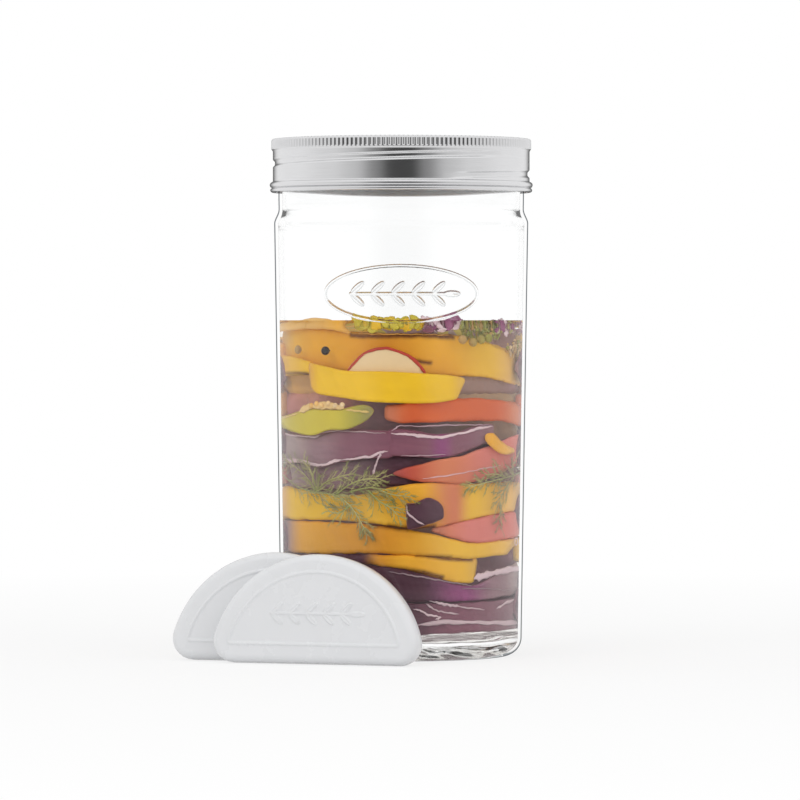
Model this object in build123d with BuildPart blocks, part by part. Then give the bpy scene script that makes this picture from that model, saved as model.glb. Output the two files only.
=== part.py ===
"""Fermentation jar: glass jar with its packed vegetables, airlock lid, screw band and two weights.

Millimetres, +Z up. The origin is the middle of the jar's foot and the front of the jar faces -Y.
"""

import math
import os

from build123d import *

os.makedirs("parts", exist_ok=True)

# Glass jar
rim_height = 195.0
shoulder_height = 165.6
shoulder_rise = 3.4
body_top_radius = 48.7
body_foot_radius = 46.2
wall_thickness = 3.2
foot_corner_radius = 7.0
base_thickness = 7.0
punt_height = 2.0
punt_radius = 36.0
inner_corner_radius = 5.0
neck_radius = 47.0
neck_ring_radius = 47.6
neck_ring_bottom = 173.0
neck_ring_height = 4.0
mouth_radius = 44.4
mouth_depth = 24.0
rim_rounding = 1.0

# Screw thread, the same on the glass and in the band
thread_pitch = 8.0
thread_height = 1.3
thread_width = 2.2
thread_overlap = 0.3
thread_running_gap = 0.3
glass_thread_bottom = 181.5
glass_thread_turns = 1.25

# Screw band
band_height = 20.5
band_radius = 49.2
band_sheet = 0.5
band_skirt_radius = 49.8
band_skirt_height = 4.3
band_skirt_step = 0.5
band_corner_radius = 1.0
band_hole_radius = 40.5
band_bead_radius = 50.4
band_bead_waist_radius = 49.9
band_bead_lip_radius = 50.1
band_bead_height = 4.0
band_waist_share = 0.42
band_lid_gap = 0.3
knurl_count = 176
knurl_depth = 0.4
groove_depth = 0.8
groove_width = 3.0
groove_floor_width = 1.2
groove_turns = 1.1
groove_start_turn = -72.0

# Airlock lid
lid_flange_thickness = 2.2
lid_flange_radius = 48.1
lid_plug_gap = 0.3
lid_plug_depth = 7.0
lid_skirt_thickness = 1.8
lid_web_thickness = 1.6
lid_ring_radius = 24.0
lid_ring_width = 2.0
lid_ring_height = 1.2
valve_collar_radius = 10.0
valve_collar_height = 1.6
valve_base_radius = 6.5
valve_height = 6.4
valve_tip_length = 9.0
valve_tip_width = 2.6
valve_wall = 1.0
valve_slit_length = 6.5
valve_slit_width = 0.4

# Weights
weight_height = 41.0
weight_arc_radius = 42.0
weight_thickness = 9.5
weight_corner_radius = 8.0
weight_edge_radius = 3.0
weight_turn = 19.5
weight_lean = 7.0
weight_touch_share = 0.68
weight_gap = 0.3
rear_weight_shift = -31.0
front_weight_shift = -10.5
weight_relief = 0.4
weight_line_inset = 6.5
weight_line_width = 0.9
weight_spray_share = 0.45
weight_spray_scale = 0.9

# Leaf ornament raised on the glass and on the weights
medallion_width = 58.0
medallion_height = 22.0
medallion_line_width = 0.9
medallion_relief = 0.5
medallion_middle = 138.5
leaf_length = 7.0
leaf_width = 2.8
leaf_tilt = 42.0
leaf_pairs = 5
stem_length = 38.0
stem_width = 0.8

# Contents: places are given as an angle and a share of the packing level
brine_level = 128.0
packing_level = 123.0
skin_layer_depths = (0.3, 1.2)
front_layer_depths = (1.5, 4.2)
outer_layer_depths = (4.6, 7.4)
middle_layer_depths = (7.8, 11.5)
core_depth = 12.0
core_gap = 0.5
core_edge_radius = 3.0
dill_stem_width = 0.9
dill_needle_width = 0.6
dill_needle_length = 9.0
dill_needle_spacing = 3.2
dill_needle_tilt = 38.0
peppercorn_diameter = 3.2
coriander_diameter = 3.2
chilli_seed_diameter = 2.0
seed_depth = 0.4
curl_diameter = 3.8

# Sizes that follow from these
front = 0.0
back = 180.0
right = 90.0
left = -90.0
band_top = rim_height + lid_flange_thickness + band_lid_gap + band_sheet
band_bottom = band_top - band_height
band_inner_radius = band_radius - band_sheet
groove_room = band_height - band_bead_height - band_skirt_height - band_skirt_step
groove_bottom = band_bottom + band_bead_height + (groove_room - thread_pitch * groove_turns) / 2
thread_offset = (groove_width + thread_width) / 2 + thread_running_gap
glass_thread_turn = (
    groove_start_turn + 360 * (glass_thread_bottom - thread_offset - groove_bottom) / thread_pitch
)


def body_radius(height):
    """Outer radius of the tapered body at a height."""
    share = (height - foot_corner_radius) / (shoulder_height - foot_corner_radius)
    return body_foot_radius + (body_top_radius - body_foot_radius) * share


def wall_radius(height):
    """Radius of the inner face of the wall at a height."""
    return body_radius(height) - wall_thickness


def turned_plane(turn, origin=(0, 0, 0)):
    """Upright plane that faces the front, turned about the jar's axis."""
    sideways = Vector(1, 0, 0).rotate(Axis.Z, turn)
    outwards = Vector(0, -1, 0).rotate(Axis.Z, turn)
    return Plane(origin=origin, x_dir=sideways, z_dir=outwards)


def save(solid, name):
    """Label a finished piece and write its file."""
    solid.part.label = name
    export_step(solid.part, f"parts/{name}.step")


def draw_interior(top, top_radius):
    """Half section of the jar's inside, up to a level in the tapered body."""
    corner_top = base_thickness + inner_corner_radius
    floor_end = wall_radius(corner_top) - inner_corner_radius
    corner_end = (wall_radius(corner_top), corner_top)
    Line((0, base_thickness), (floor_end, base_thickness))
    TangentArc((floor_end, base_thickness), corner_end, tangent=(1, 0))
    Line(corner_end, (top_radius, top))
    Line((top_radius, top), (0, top))
    Line((0, top), (0, base_thickness))


def wall_ring(inner_depth, outer_depth, bottom, top):
    """Half section of a sleeve that follows the wall between two depths behind it."""
    Polyline(
        (wall_radius(bottom) - outer_depth, bottom),
        (wall_radius(bottom) - inner_depth, bottom),
        (wall_radius(top) - inner_depth, top),
        (wall_radius(top) - outer_depth, top),
        close=True,
    )


def draw_leaves(scale):
    """Level stem with pairs of leaves and one at its end."""
    length = leaf_length * scale
    reach = stem_length * scale
    spacing = reach / leaf_pairs
    Rectangle(reach, stem_width)
    for index in range(leaf_pairs):
        along = spacing * index - reach / 2
        for tilt in (leaf_tilt, -leaf_tilt):
            rise = length / 2 * math.sin(math.radians(tilt))
            middle = along + length / 2 * math.cos(math.radians(tilt))
            with Locations(Location((middle, rise, 0), (0, 0, tilt))):
                Ellipse(length / 2, leaf_width * scale / 2)
    with Locations((reach / 2, 0)):
        Ellipse(length / 2, leaf_width * scale / 2)


def helical_bead(root_radius, crest_radius, root_width, crest_width, bottom, turn, turns):
    """Bead that winds up from its bottom end, as on a screw thread."""
    depth = crest_radius - root_radius
    with BuildPart() as bead:
        with BuildLine(Plane.XY.offset(bottom)) as helix:
            Helix(pitch=thread_pitch, height=thread_pitch * turns, radius=root_radius)
        with BuildSketch(Plane(origin=helix.line @ 0, x_dir=(1, 0, 0), z_dir=helix.line % 0)):
            with BuildLine():
                Polyline(
                    (0, root_width / 2),
                    (0, -root_width / 2),
                    (depth, -crest_width / 2),
                    (depth, crest_width / 2),
                    close=True,
                )
            make_face()
        sweep(path=helix.line, is_frenet=True)
    return bead.part.rotate(Axis.Z, turn)


def wall_sleeve(inner_depth, outer_depth):
    """Sleeve between two depths behind the wall, over the whole height of the body."""
    with BuildPart() as sleeve:
        with BuildSketch(Plane.XZ):
            with BuildLine():
                wall_ring(inner_depth, outer_depth, 0, shoulder_height)
            make_face()
        revolve(axis=Axis.Z)
    return sleeve.part


def wall_solid(layer, turn, top_shares, bottom_shares):
    """Solid that lies against the wall. Each outline point is an angle and a share of the level."""
    top = [wall_point(*place) for place in top_shares]
    bottom = [wall_point(*place) for place in bottom_shares]
    with BuildPart() as piece:
        with BuildSketch(turned_plane(turn)):
            with BuildLine():
                for points in (top, bottom):
                    if len(points) == 2:
                        Line(*points)
                    else:
                        Spline(*points)
                for end in (0, -1):
                    if top[end] != bottom[end]:
                        Line(top[end], bottom[end])
            make_face()
        extrude(amount=body_top_radius)
        add(layer, mode=Mode.INTERSECT)
    return piece.part


def wall_piece(name, layer, turn, top_shares, bottom_shares):
    """One piece against the wall, in a node of its own."""
    with BuildPart() as piece:
        add(wall_solid(layer, turn, top_shares, bottom_shares))
    save(piece, name)
    return piece.part


def wall_scraps(name, layer, turn, middle_shares):
    """Like scraps above each other against the wall, in one node."""
    with BuildPart() as scraps:
        for middle in middle_shares:
            add(
                wall_solid(
                    layer,
                    turn,
                    top_shares=[(-10, middle), (-3, middle + 0.05), (6, middle + 0.045), (10, middle)],
                    bottom_shares=[(-10, middle), (-2, middle - 0.05), (6, middle - 0.04), (10, middle)],
                )
            )
    save(scraps, name)
    return scraps.part


def wall_seeds(name, diameter, turn, place_shares):
    """Round seeds against the wall, each at an angle and a share of the packing level."""
    with BuildPart() as seeds:
        for angle, share in place_shares:
            height = share * packing_level
            away = wall_radius(height) - seed_depth - diameter / 2
            place = turned_plane(turn + angle).z_dir * away + Vector(0, 0, height)
            with Locations(place):
                Sphere(diameter / 2)
    save(seeds, name)
    return seeds.part


def wall_point(angle, share):
    """Place on the wall as seen square on, from an angle and a share of the packing level."""
    height = share * packing_level
    return Vector(wall_radius(height) * math.sin(math.radians(angle)), height)


def draw_bar(start, end, width):
    """Round-ended bar between two points of the open sketch."""
    span = end - start
    direction = math.degrees(math.atan2(span.Y, span.X))
    with Locations((start + end) * 0.5):
        SlotOverall(span.length + width, width, rotation=direction)


def dill_sprig(name, turn, stems_shares):
    """Feathery sprig pressed flat on the wall: bent stems with pairs of needles."""
    with BuildPart() as sprig:
        with BuildSketch(turned_plane(turn)):
            for stem_shares in stems_shares:
                points = [wall_point(*place) for place in stem_shares]
                for start, end in zip(points, points[1:]):
                    draw_bar(start, end, dill_stem_width)
                    span = end - start
                    count = max(1, round(span.length / dill_needle_spacing))
                    for index in range(count):
                        base = start + span * ((index + 0.5) / count)
                        for tilt in (dill_needle_tilt, -dill_needle_tilt):
                            reach = (span.normalized() * dill_needle_length).rotate(Axis.Z, tilt)
                            draw_bar(base, base + reach, dill_needle_width)
        extrude(amount=body_top_radius)
        add(skin_layer, mode=Mode.INTERSECT)
    save(sprig, name)
    return sprig.part


def core_layer(name, bottom_share, top_share):
    """Round layer of the packed middle, between two shares of the packing level."""
    bottom = bottom_share * packing_level + core_gap / 2
    top = top_share * packing_level - core_gap / 2
    with BuildPart() as layer:
        with BuildSketch(Plane.XZ):
            with BuildLine():
                Polyline(
                    (0, bottom),
                    (wall_radius(bottom) - core_depth, bottom),
                    (wall_radius(top) - core_depth, top),
                    (0, top),
                    close=True,
                )
            make_face()
        revolve(axis=Axis.Z)
        fillet(layer.edges().filter_by(GeomType.CIRCLE), radius=core_edge_radius)
    save(layer, name)
    return layer.part


def half_moon(inset):
    """Outline of a weight, drawn in by an inset, with the middle of its straight edge at the origin."""
    with BuildSketch() as outline:
        with Locations((0, weight_height - weight_arc_radius)):
            Circle(weight_arc_radius - inset)
        with Locations((0, inset)):
            Rectangle(
                2 * weight_arc_radius,
                weight_height,
                align=(Align.CENTER, Align.MIN),
                mode=Mode.INTERSECT,
            )
        fillet(outline.vertices(), radius=weight_corner_radius - inset)
    return outline.sketch


def leaning_weight(name, distance, shift):
    """Half-moon weight stood on its straight edge, leaning back towards the jar."""
    upright = turned_plane(-weight_turn)
    lean = math.radians(weight_lean)
    sink = weight_edge_radius * (math.sin(lean) + math.cos(lean) - 1)
    normal = upright.z_dir * math.cos(lean) + Vector(0, 0, math.sin(lean))
    nearly_parallel = math.cos(math.radians(weight_lean))
    origin = upright.z_dir * distance + upright.x_dir * shift - Vector(0, 0, sink)
    back_face = Plane(origin=origin, x_dir=upright.x_dir, z_dir=normal)
    body_outline = half_moon(0)
    line_outer = half_moon(weight_line_inset)
    line_inner = half_moon(weight_line_inset + weight_line_width)
    with BuildPart() as weight:
        with BuildSketch(back_face):
            add(body_outline)
        extrude(amount=weight_thickness)
        flat_faces = weight.faces().filter_by(
            lambda face: abs(face.normal_at().dot(normal)) > nearly_parallel
        )
        fillet(flat_faces.edges(), radius=weight_edge_radius)
        with BuildSketch(back_face.offset(weight_thickness)):
            add(line_outer)
            add(line_inner, mode=Mode.SUBTRACT)
            with Locations((0, weight_height * weight_spray_share)):
                draw_leaves(weight_spray_scale)
        extrude(amount=weight_relief)
    save(weight, name)
    return weight.part


# Glass jar
ring_middle = neck_ring_bottom + neck_ring_height / 2
with BuildPart() as glass_jar:
    with BuildSketch(Plane.XZ):
        with BuildLine():
            Polyline(
                (0, rim_height),
                (0, punt_height),
                (punt_radius - punt_height, punt_height),
                (punt_radius, 0),
                (body_foot_radius - foot_corner_radius, 0),
            )
            TangentArc(
                (body_foot_radius - foot_corner_radius, 0),
                (body_foot_radius, foot_corner_radius),
                tangent=(1, 0),
            )
            Polyline(
                (body_foot_radius, foot_corner_radius),
                (body_top_radius, shoulder_height),
                (neck_radius, shoulder_height + shoulder_rise),
                (neck_radius, neck_ring_bottom),
            )
            ThreePointArc(
                (neck_radius, neck_ring_bottom),
                (neck_ring_radius, ring_middle),
                (neck_radius, neck_ring_bottom + neck_ring_height),
            )
            Polyline(
                (neck_radius, neck_ring_bottom + neck_ring_height),
                (neck_radius, rim_height),
                (0, rim_height),
            )
        make_face()
    revolve(axis=Axis.Z)
    with BuildSketch(Plane.XZ):
        with BuildLine():
            draw_interior(shoulder_height, wall_radius(shoulder_height))
        make_face()
    revolve(axis=Axis.Z, mode=Mode.SUBTRACT)
    with BuildSketch(Plane.XZ):
        with BuildLine():
            Polyline(
                (0, shoulder_height),
                (wall_radius(shoulder_height), shoulder_height),
                (mouth_radius, rim_height - mouth_depth),
                (mouth_radius, rim_height),
                (0, rim_height),
                close=True,
            )
        make_face()
    revolve(axis=Axis.Z, mode=Mode.SUBTRACT)
    fillet(glass_jar.faces().sort_by(Axis.Z)[-1].edges(), radius=rim_rounding)
    add(
        helical_bead(
            neck_radius - thread_overlap,
            neck_radius + thread_height,
            thread_width,
            thread_width / 2,
            glass_thread_bottom,
            glass_thread_turn,
            glass_thread_turns,
        )
    )

# Oval with a leaf spray, raised on the front of the glass
with BuildPart() as medallion:
    with BuildSketch(turned_plane(front, (0, 0, medallion_middle))):
        Ellipse(medallion_width / 2, medallion_height / 2)
        Ellipse(
            medallion_width / 2 - medallion_line_width,
            medallion_height / 2 - medallion_line_width,
            mode=Mode.SUBTRACT,
        )
        draw_leaves(1)
    extrude(amount=body_top_radius + medallion_relief)
    with BuildSketch(Plane.XZ):
        with BuildLine():
            wall_ring(-wall_thickness - medallion_relief, -wall_thickness / 2, 0, shoulder_height)
        make_face()
    revolve(axis=Axis.Z, mode=Mode.INTERSECT)
glass_jar.part = glass_jar.part + medallion.part
save(glass_jar, "glass_jar")
print("glass", round(glass_jar.part.volume), len(glass_jar.part.solids()))

# Screw band
bead_waist = band_bottom + band_bead_height * band_waist_share
with BuildPart() as screw_band:
    with BuildSketch(Plane.XZ):
        with BuildLine():
            Polyline(
                (band_inner_radius, band_bottom),
                (band_inner_radius, band_top - band_sheet),
                (band_hole_radius, band_top - band_sheet),
                (band_hole_radius, band_top),
                (band_skirt_radius - knurl_depth - band_corner_radius, band_top),
            )
            TangentArc(
                (band_skirt_radius - knurl_depth - band_corner_radius, band_top),
                (band_skirt_radius - knurl_depth, band_top - band_corner_radius),
                tangent=(1, 0),
            )
            Polyline(
                (band_skirt_radius - knurl_depth, band_top - band_corner_radius),
                (band_skirt_radius - knurl_depth, band_top - band_skirt_height),
                (band_radius, band_top - band_skirt_height - band_skirt_step),
                (band_radius, band_bottom + band_bead_height),
            )
            ThreePointArc(
                (band_radius, band_bottom + band_bead_height),
                (band_bead_radius, (band_bottom + band_bead_height + bead_waist) / 2),
                (band_bead_waist_radius, bead_waist),
            )
            ThreePointArc(
                (band_bead_waist_radius, bead_waist),
                (band_bead_lip_radius, (band_bottom + bead_waist) / 2),
                (band_radius, band_bottom),
            )
            Line((band_radius, band_bottom), (band_inner_radius, band_bottom))
        make_face()
    revolve(axis=Axis.Z)
    with BuildSketch(Plane.XY.offset(band_top - band_skirt_height)):
        knurl_points = []
        for index in range(2 * knurl_count):
            knurl_radius = band_skirt_radius - knurl_depth * (index % 2)
            angle = math.pi * index / knurl_count
            knurl_points.append((knurl_radius * math.cos(angle), knurl_radius * math.sin(angle)))
        with BuildLine():
            Polyline(*knurl_points, close=True)
        make_face()
        Circle(band_inner_radius, mode=Mode.SUBTRACT)
    extrude(amount=band_skirt_height - band_corner_radius)
    add(
        helical_bead(
            band_inner_radius - groove_depth,
            band_inner_radius + thread_overlap,
            groove_floor_width,
            groove_width,
            groove_bottom,
            groove_start_turn,
            groove_turns,
        )
    )
    add(
        helical_bead(
            band_radius - groove_depth,
            band_radius + thread_overlap,
            groove_floor_width,
            groove_width,
            groove_bottom,
            groove_start_turn,
            groove_turns,
        ),
        mode=Mode.SUBTRACT,
    )
save(screw_band, "screw_band")
print("band", round(screw_band.part.volume), len(screw_band.part.solids()))

# Airlock lid: flange on the rim, plug in the mouth and a flat-lipped valve in the middle
lid_bottom = rim_height - lid_plug_depth
web_top = lid_bottom + lid_web_thickness
plug_radius = mouth_radius - lid_plug_gap
collar_top = web_top + valve_collar_height
with BuildPart() as airlock_lid:
    with BuildSketch(Plane.XZ):
        with BuildLine():
            Polyline(
                (0, lid_bottom),
                (plug_radius, lid_bottom),
                (plug_radius, rim_height),
                (lid_flange_radius, rim_height),
                (lid_flange_radius, rim_height + lid_flange_thickness),
                (plug_radius - lid_skirt_thickness, rim_height + lid_flange_thickness),
                (plug_radius - lid_skirt_thickness, web_top),
                (lid_ring_radius + lid_ring_width, web_top),
                (lid_ring_radius + lid_ring_width, web_top + lid_ring_height),
                (lid_ring_radius, web_top + lid_ring_height),
                (lid_ring_radius, web_top),
                (valve_collar_radius, web_top),
                (valve_collar_radius, collar_top),
                (0, collar_top),
                close=True,
            )
        make_face()
    revolve(axis=Axis.Z)
    with BuildSketch(Plane.XY.offset(collar_top)):
        Circle(valve_base_radius)
    with BuildSketch(Plane.XY.offset(collar_top + valve_height)):
        Ellipse(valve_tip_length / 2, valve_tip_width / 2)
    loft()
    with BuildSketch(Plane.XY.offset(lid_bottom)):
        Circle(valve_base_radius - valve_wall)
    with BuildSketch(Plane.XY.offset(collar_top)):
        Circle(valve_base_radius - valve_wall)
    loft(mode=Mode.SUBTRACT)
    with BuildSketch(Plane.XY.offset(collar_top)):
        Circle(valve_base_radius - valve_wall)
    with BuildSketch(Plane.XY.offset(collar_top + valve_height)):
        Ellipse(valve_slit_length / 2, valve_slit_width / 2)
    loft(mode=Mode.SUBTRACT)
save(airlock_lid, "airlock_lid")
print("lid", round(airlock_lid.part.volume), len(airlock_lid.part.solids()))

# Weights: the rear one against the jar, the front one against the rear one
touch_height = weight_height * weight_touch_share
lean_slope = math.tan(math.radians(weight_lean))
rear_distance = body_radius(touch_height) + weight_gap + touch_height * lean_slope
front_distance = rear_distance + (weight_thickness + weight_relief + weight_gap) / math.cos(
    math.radians(weight_lean)
)
weight_rear = leaning_weight("weight_rear", rear_distance, rear_weight_shift)
weight_front = leaning_weight("weight_front", front_distance, front_weight_shift)
print("weights", round(weight_rear.volume), len(weight_rear.solids()), len(weight_front.solids()))

# Layers in which the contents lie behind the wall
skin_layer = wall_sleeve(*skin_layer_depths)
front_layer = wall_sleeve(*front_layer_depths)
outer_layer = wall_sleeve(*outer_layer_depths)
middle_layer = wall_sleeve(*middle_layer_depths)

# Contents seen from the front
contents = [
    wall_piece(
        "long_pepper_arch",
        middle_layer,
        front,
        top_shares=[(-88, 1.006), (-56, 1.02), (-32, 1.015), (0, 1.003), (28, 0.994),
                    (41, 0.973), (55, 0.934), (70, 0.898), (80, 0.862), (87, 0.826)],
        bottom_shares=[(-88, 0.942), (-66, 0.936), (-42, 0.907), (-20, 0.888), (10, 0.88),
                       (31, 0.875), (45, 0.866), (60, 0.833), (75, 0.793), (87, 0.756)],
    ),
    wall_piece(
        "pale_pepper_top",
        outer_layer,
        front,
        top_shares=[(-84, 1.04), (-58, 1.043), (-38, 1.047), (-31, 1.034), (-25, 1.012)],
        bottom_shares=[(-84, 1.01), (-62, 1.015), (-46, 1.021), (-25, 1.006)],
    ),
    wall_piece(
        "lime_pepper_bits",
        outer_layer,
        front,
        top_shares=[(-23, 1.012), (-19, 1.058), (-14, 1.042), (-7, 1.03), (-1, 1.057), (5, 1.05),
                    (9.5, 1.012)],
        bottom_shares=[(-23, 1.012), (-10, 1.007), (9.5, 1.012)],
    ),
    wall_piece(
        "top_cabbage_scrap",
        outer_layer,
        front,
        top_shares=[(11, 0.993), (15, 1.035), (20, 1.058), (25, 1.04), (29, 0.993)],
        bottom_shares=[(11, 0.993), (29, 0.993)],
    ),
    wall_piece(
        "seed_heads",
        outer_layer,
        front,
        top_shares=[(31, 0.993), (34, 1.03), (39, 1.03), (44, 1.038), (48, 0.993)],
        bottom_shares=[(31, 0.993), (48, 0.993)],
    ),
    wall_piece(
        "purple_top_bits",
        outer_layer,
        front,
        top_shares=[(50, 1.003), (56, 1.036), (61, 1.028), (66, 1.052), (71, 1.03), (80, 1.02)],
        bottom_shares=[(50, 1.003), (80, 1.003)],
    ),
    wall_seeds(
        "coriander_seeds",
        coriander_diameter,
        front,
        place_shares=[(31.5, 0.986), (37.5, 0.978), (42.5, 0.986), (47.5, 0.99)],
    ),
    wall_seeds("peppercorns", peppercorn_diameter, front, place_shares=[(-60, 0.955), (-40, 0.952)]),
    wall_piece(
        "floret_piece",
        outer_layer,
        front,
        top_shares=[(54, 0.985), (60, 0.996), (65, 0.986), (70, 0.965)],
        bottom_shares=[(54, 0.985), (57, 0.95), (61, 0.925), (64, 0.942), (70, 0.965)],
    ),
    wall_piece(
        "radish_slice",
        outer_layer,
        front,
        top_shares=[(-27.5, 0.862), (-25.5, 0.89), (-21.5, 0.92), (-16, 0.947), (-8, 0.96), (0.5, 0.947),
                    (6.5, 0.92), (10.5, 0.89), (12, 0.862)],
        bottom_shares=[(-27.5, 0.862), (12, 0.862)],
    ),
    wall_piece(
        "bright_pepper_boat",
        front_layer,
        front,
        top_shares=[(-48.5, 0.912), (-37, 0.9), (-28.5, 0.89), (-18, 0.887), (9, 0.881), (24.5, 0.873),
                    (32, 0.864)],
        bottom_shares=[(-47.5, 0.845), (-44, 0.826), (-37, 0.817), (-28.5, 0.811), (-15.5, 0.8),
                       (0, 0.795), (14, 0.796), (27, 0.806)],
    ),
    wall_piece(
        "left_pepper_end",
        outer_layer,
        front,
        top_shares=[(-84, 0.934), (-58, 0.931), (-44, 0.91)],
        bottom_shares=[(-84, 0.866), (-58, 0.875), (-44, 0.88)],
    ),
    wall_piece(
        "green_chilli_half",
        front_layer,
        front,
        top_shares=[(-75, 0.74), (-64, 0.748), (-58, 0.757), (-50, 0.77), (-38.5, 0.77), (-28.5, 0.772),
                    (-21.5, 0.782), (-17, 0.784), (-13.5, 0.77)],
        bottom_shares=[(-75, 0.74), (-65, 0.712), (-54, 0.697), (-44.5, 0.695), (-37, 0.71),
                       (-28.5, 0.712), (-21.5, 0.725), (-15.5, 0.75), (-13.5, 0.77)],
    ),
    wall_seeds(
        "chilli_seeds",
        chilli_seed_diameter,
        front,
        place_shares=[(-49, 0.783), (-45.5, 0.789), (-42, 0.784), (-38, 0.79), (-34, 0.784),
                      (-30, 0.786)],
    ),
    wall_piece(
        "orange_pepper_strip",
        outer_layer,
        front,
        top_shares=[(-7, 0.78), (0, 0.787), (14, 0.797), (30, 0.8), (45, 0.797), (57, 0.785),
                    (66, 0.762), (74, 0.725)],
        bottom_shares=[(-7, 0.747), (0, 0.74), (14, 0.738), (27, 0.741), (42, 0.742), (55, 0.738),
                       (63, 0.72), (70, 0.708)],
    ),
    wall_piece(
        "cabbage_leaf_left",
        outer_layer,
        front,
        top_shares=[(-80, 0.7), (-58, 0.688), (-44.5, 0.685), (-31.5, 0.703), (-18, 0.706), (-5.5, 0.706)],
        bottom_shares=[(-80, 0.625), (-62, 0.61), (-50, 0.609), (-42, 0.597), (-33, 0.609), (-26, 0.615),
                       (-20, 0.627), (-13, 0.627), (-5.5, 0.633)],
    ),
    wall_piece(
        "cabbage_leaf_upper",
        outer_layer,
        front,
        top_shares=[(-5, 0.706), (7, 0.703), (13.5, 0.695), (19.5, 0.694), (30, 0.706), (47, 0.722)],
        bottom_shares=[(-5, 0.633), (9, 0.63), (20.5, 0.63), (33, 0.65), (47, 0.674)],
    ),
    wall_piece(
        "cabbage_leaf_middle",
        middle_layer,
        front,
        top_shares=[(-86, 0.6), (-50, 0.6), (-25, 0.61), (-5, 0.625), (20, 0.63), (40, 0.66), (60, 0.69)],
        bottom_shares=[(-86, 0.52), (-50, 0.525), (-25, 0.53), (-5, 0.54), (20, 0.545), (40, 0.56),
                       (60, 0.6)],
    ),
    wall_piece(
        "pink_pepper_upper",
        outer_layer,
        front,
        top_shares=[(-4, 0.572), (7, 0.599), (19.5, 0.617), (33, 0.636), (45, 0.658), (57, 0.679),
                    (68, 0.697)],
        bottom_shares=[(-4, 0.572), (9, 0.555), (22, 0.549), (36, 0.552), (49, 0.572), (61, 0.602),
                       (74, 0.64)],
    ),
    wall_piece(
        "small_yellow_piece",
        front_layer,
        front,
        top_shares=[(44.5, 0.69), (47, 0.697), (52, 0.675), (58, 0.655), (63, 0.64)],
        bottom_shares=[(44.5, 0.69), (47, 0.662), (52, 0.642), (58, 0.634), (63, 0.64)],
    ),
    wall_piece(
        "yellow_strip_upper",
        outer_layer,
        front,
        top_shares=[(-80, 0.529), (-43, 0.511), (-26, 0.502), (-8, 0.52), (0, 0.533), (24.5, 0.54),
                    (48, 0.538), (78, 0.541)],
        bottom_shares=[(-80, 0.431), (-43, 0.437), (-26, 0.437), (-10, 0.424), (4.5, 0.414),
                       (19.5, 0.421), (36, 0.443), (57, 0.456), (78, 0.462)],
    ),
    wall_piece(
        "dark_cabbage_scrap",
        front_layer,
        front,
        top_shares=[(2.5, 0.486), (7, 0.484), (13, 0.498), (17, 0.489), (20.5, 0.443)],
        bottom_shares=[(3.5, 0.409), (9, 0.417), (14.5, 0.427), (20.5, 0.443)],
    ),
    wall_piece(
        "pink_pepper_lower",
        outer_layer,
        front,
        top_shares=[(14, 0.401), (25, 0.415), (37, 0.431), (50, 0.443), (62, 0.448), (76, 0.453)],
        bottom_shares=[(14, 0.401), (24.5, 0.384), (33, 0.37), (41.5, 0.367), (57, 0.377), (76, 0.4)],
    ),
    wall_piece(
        "yellow_strip_lower",
        outer_layer,
        front,
        top_shares=[(-80, 0.42), (-37, 0.42), (-15, 0.413), (0, 0.402), (12, 0.388), (24.5, 0.37),
                    (36, 0.357), (49, 0.357), (60, 0.364)],
        bottom_shares=[(-80, 0.336), (-37, 0.333), (-10, 0.336), (14, 0.327), (30, 0.321), (54, 0.325)],
    ),
    wall_piece(
        "yellow_strip_bottom",
        outer_layer,
        front,
        top_shares=[(-62, 0.32), (-26, 0.323), (0, 0.322), (19.5, 0.315), (38, 0.308)],
        bottom_shares=[(-62, 0.302), (-26, 0.305), (0, 0.292), (9, 0.277), (19.5, 0.257), (36.5, 0.241)],
    ),
    wall_piece(
        "cabbage_leaf_low",
        outer_layer,
        front,
        top_shares=[(-80, 0.29), (-40, 0.288), (0, 0.28), (9, 0.265), (20, 0.244), (37, 0.228),
                    (46, 0.25), (60, 0.285), (80, 0.295)],
        bottom_shares=[(-80, 0.2), (-40, 0.195), (0, 0.19), (30, 0.185), (55, 0.195), (80, 0.2)],
    ),
    wall_piece(
        "cabbage_leaf_base",
        outer_layer,
        front,
        top_shares=[(-80, 0.19), (0, 0.178), (30, 0.173), (80, 0.188)],
        bottom_shares=[(-80, 0.088), (0, 0.085), (80, 0.088)],
    ),
]

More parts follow.
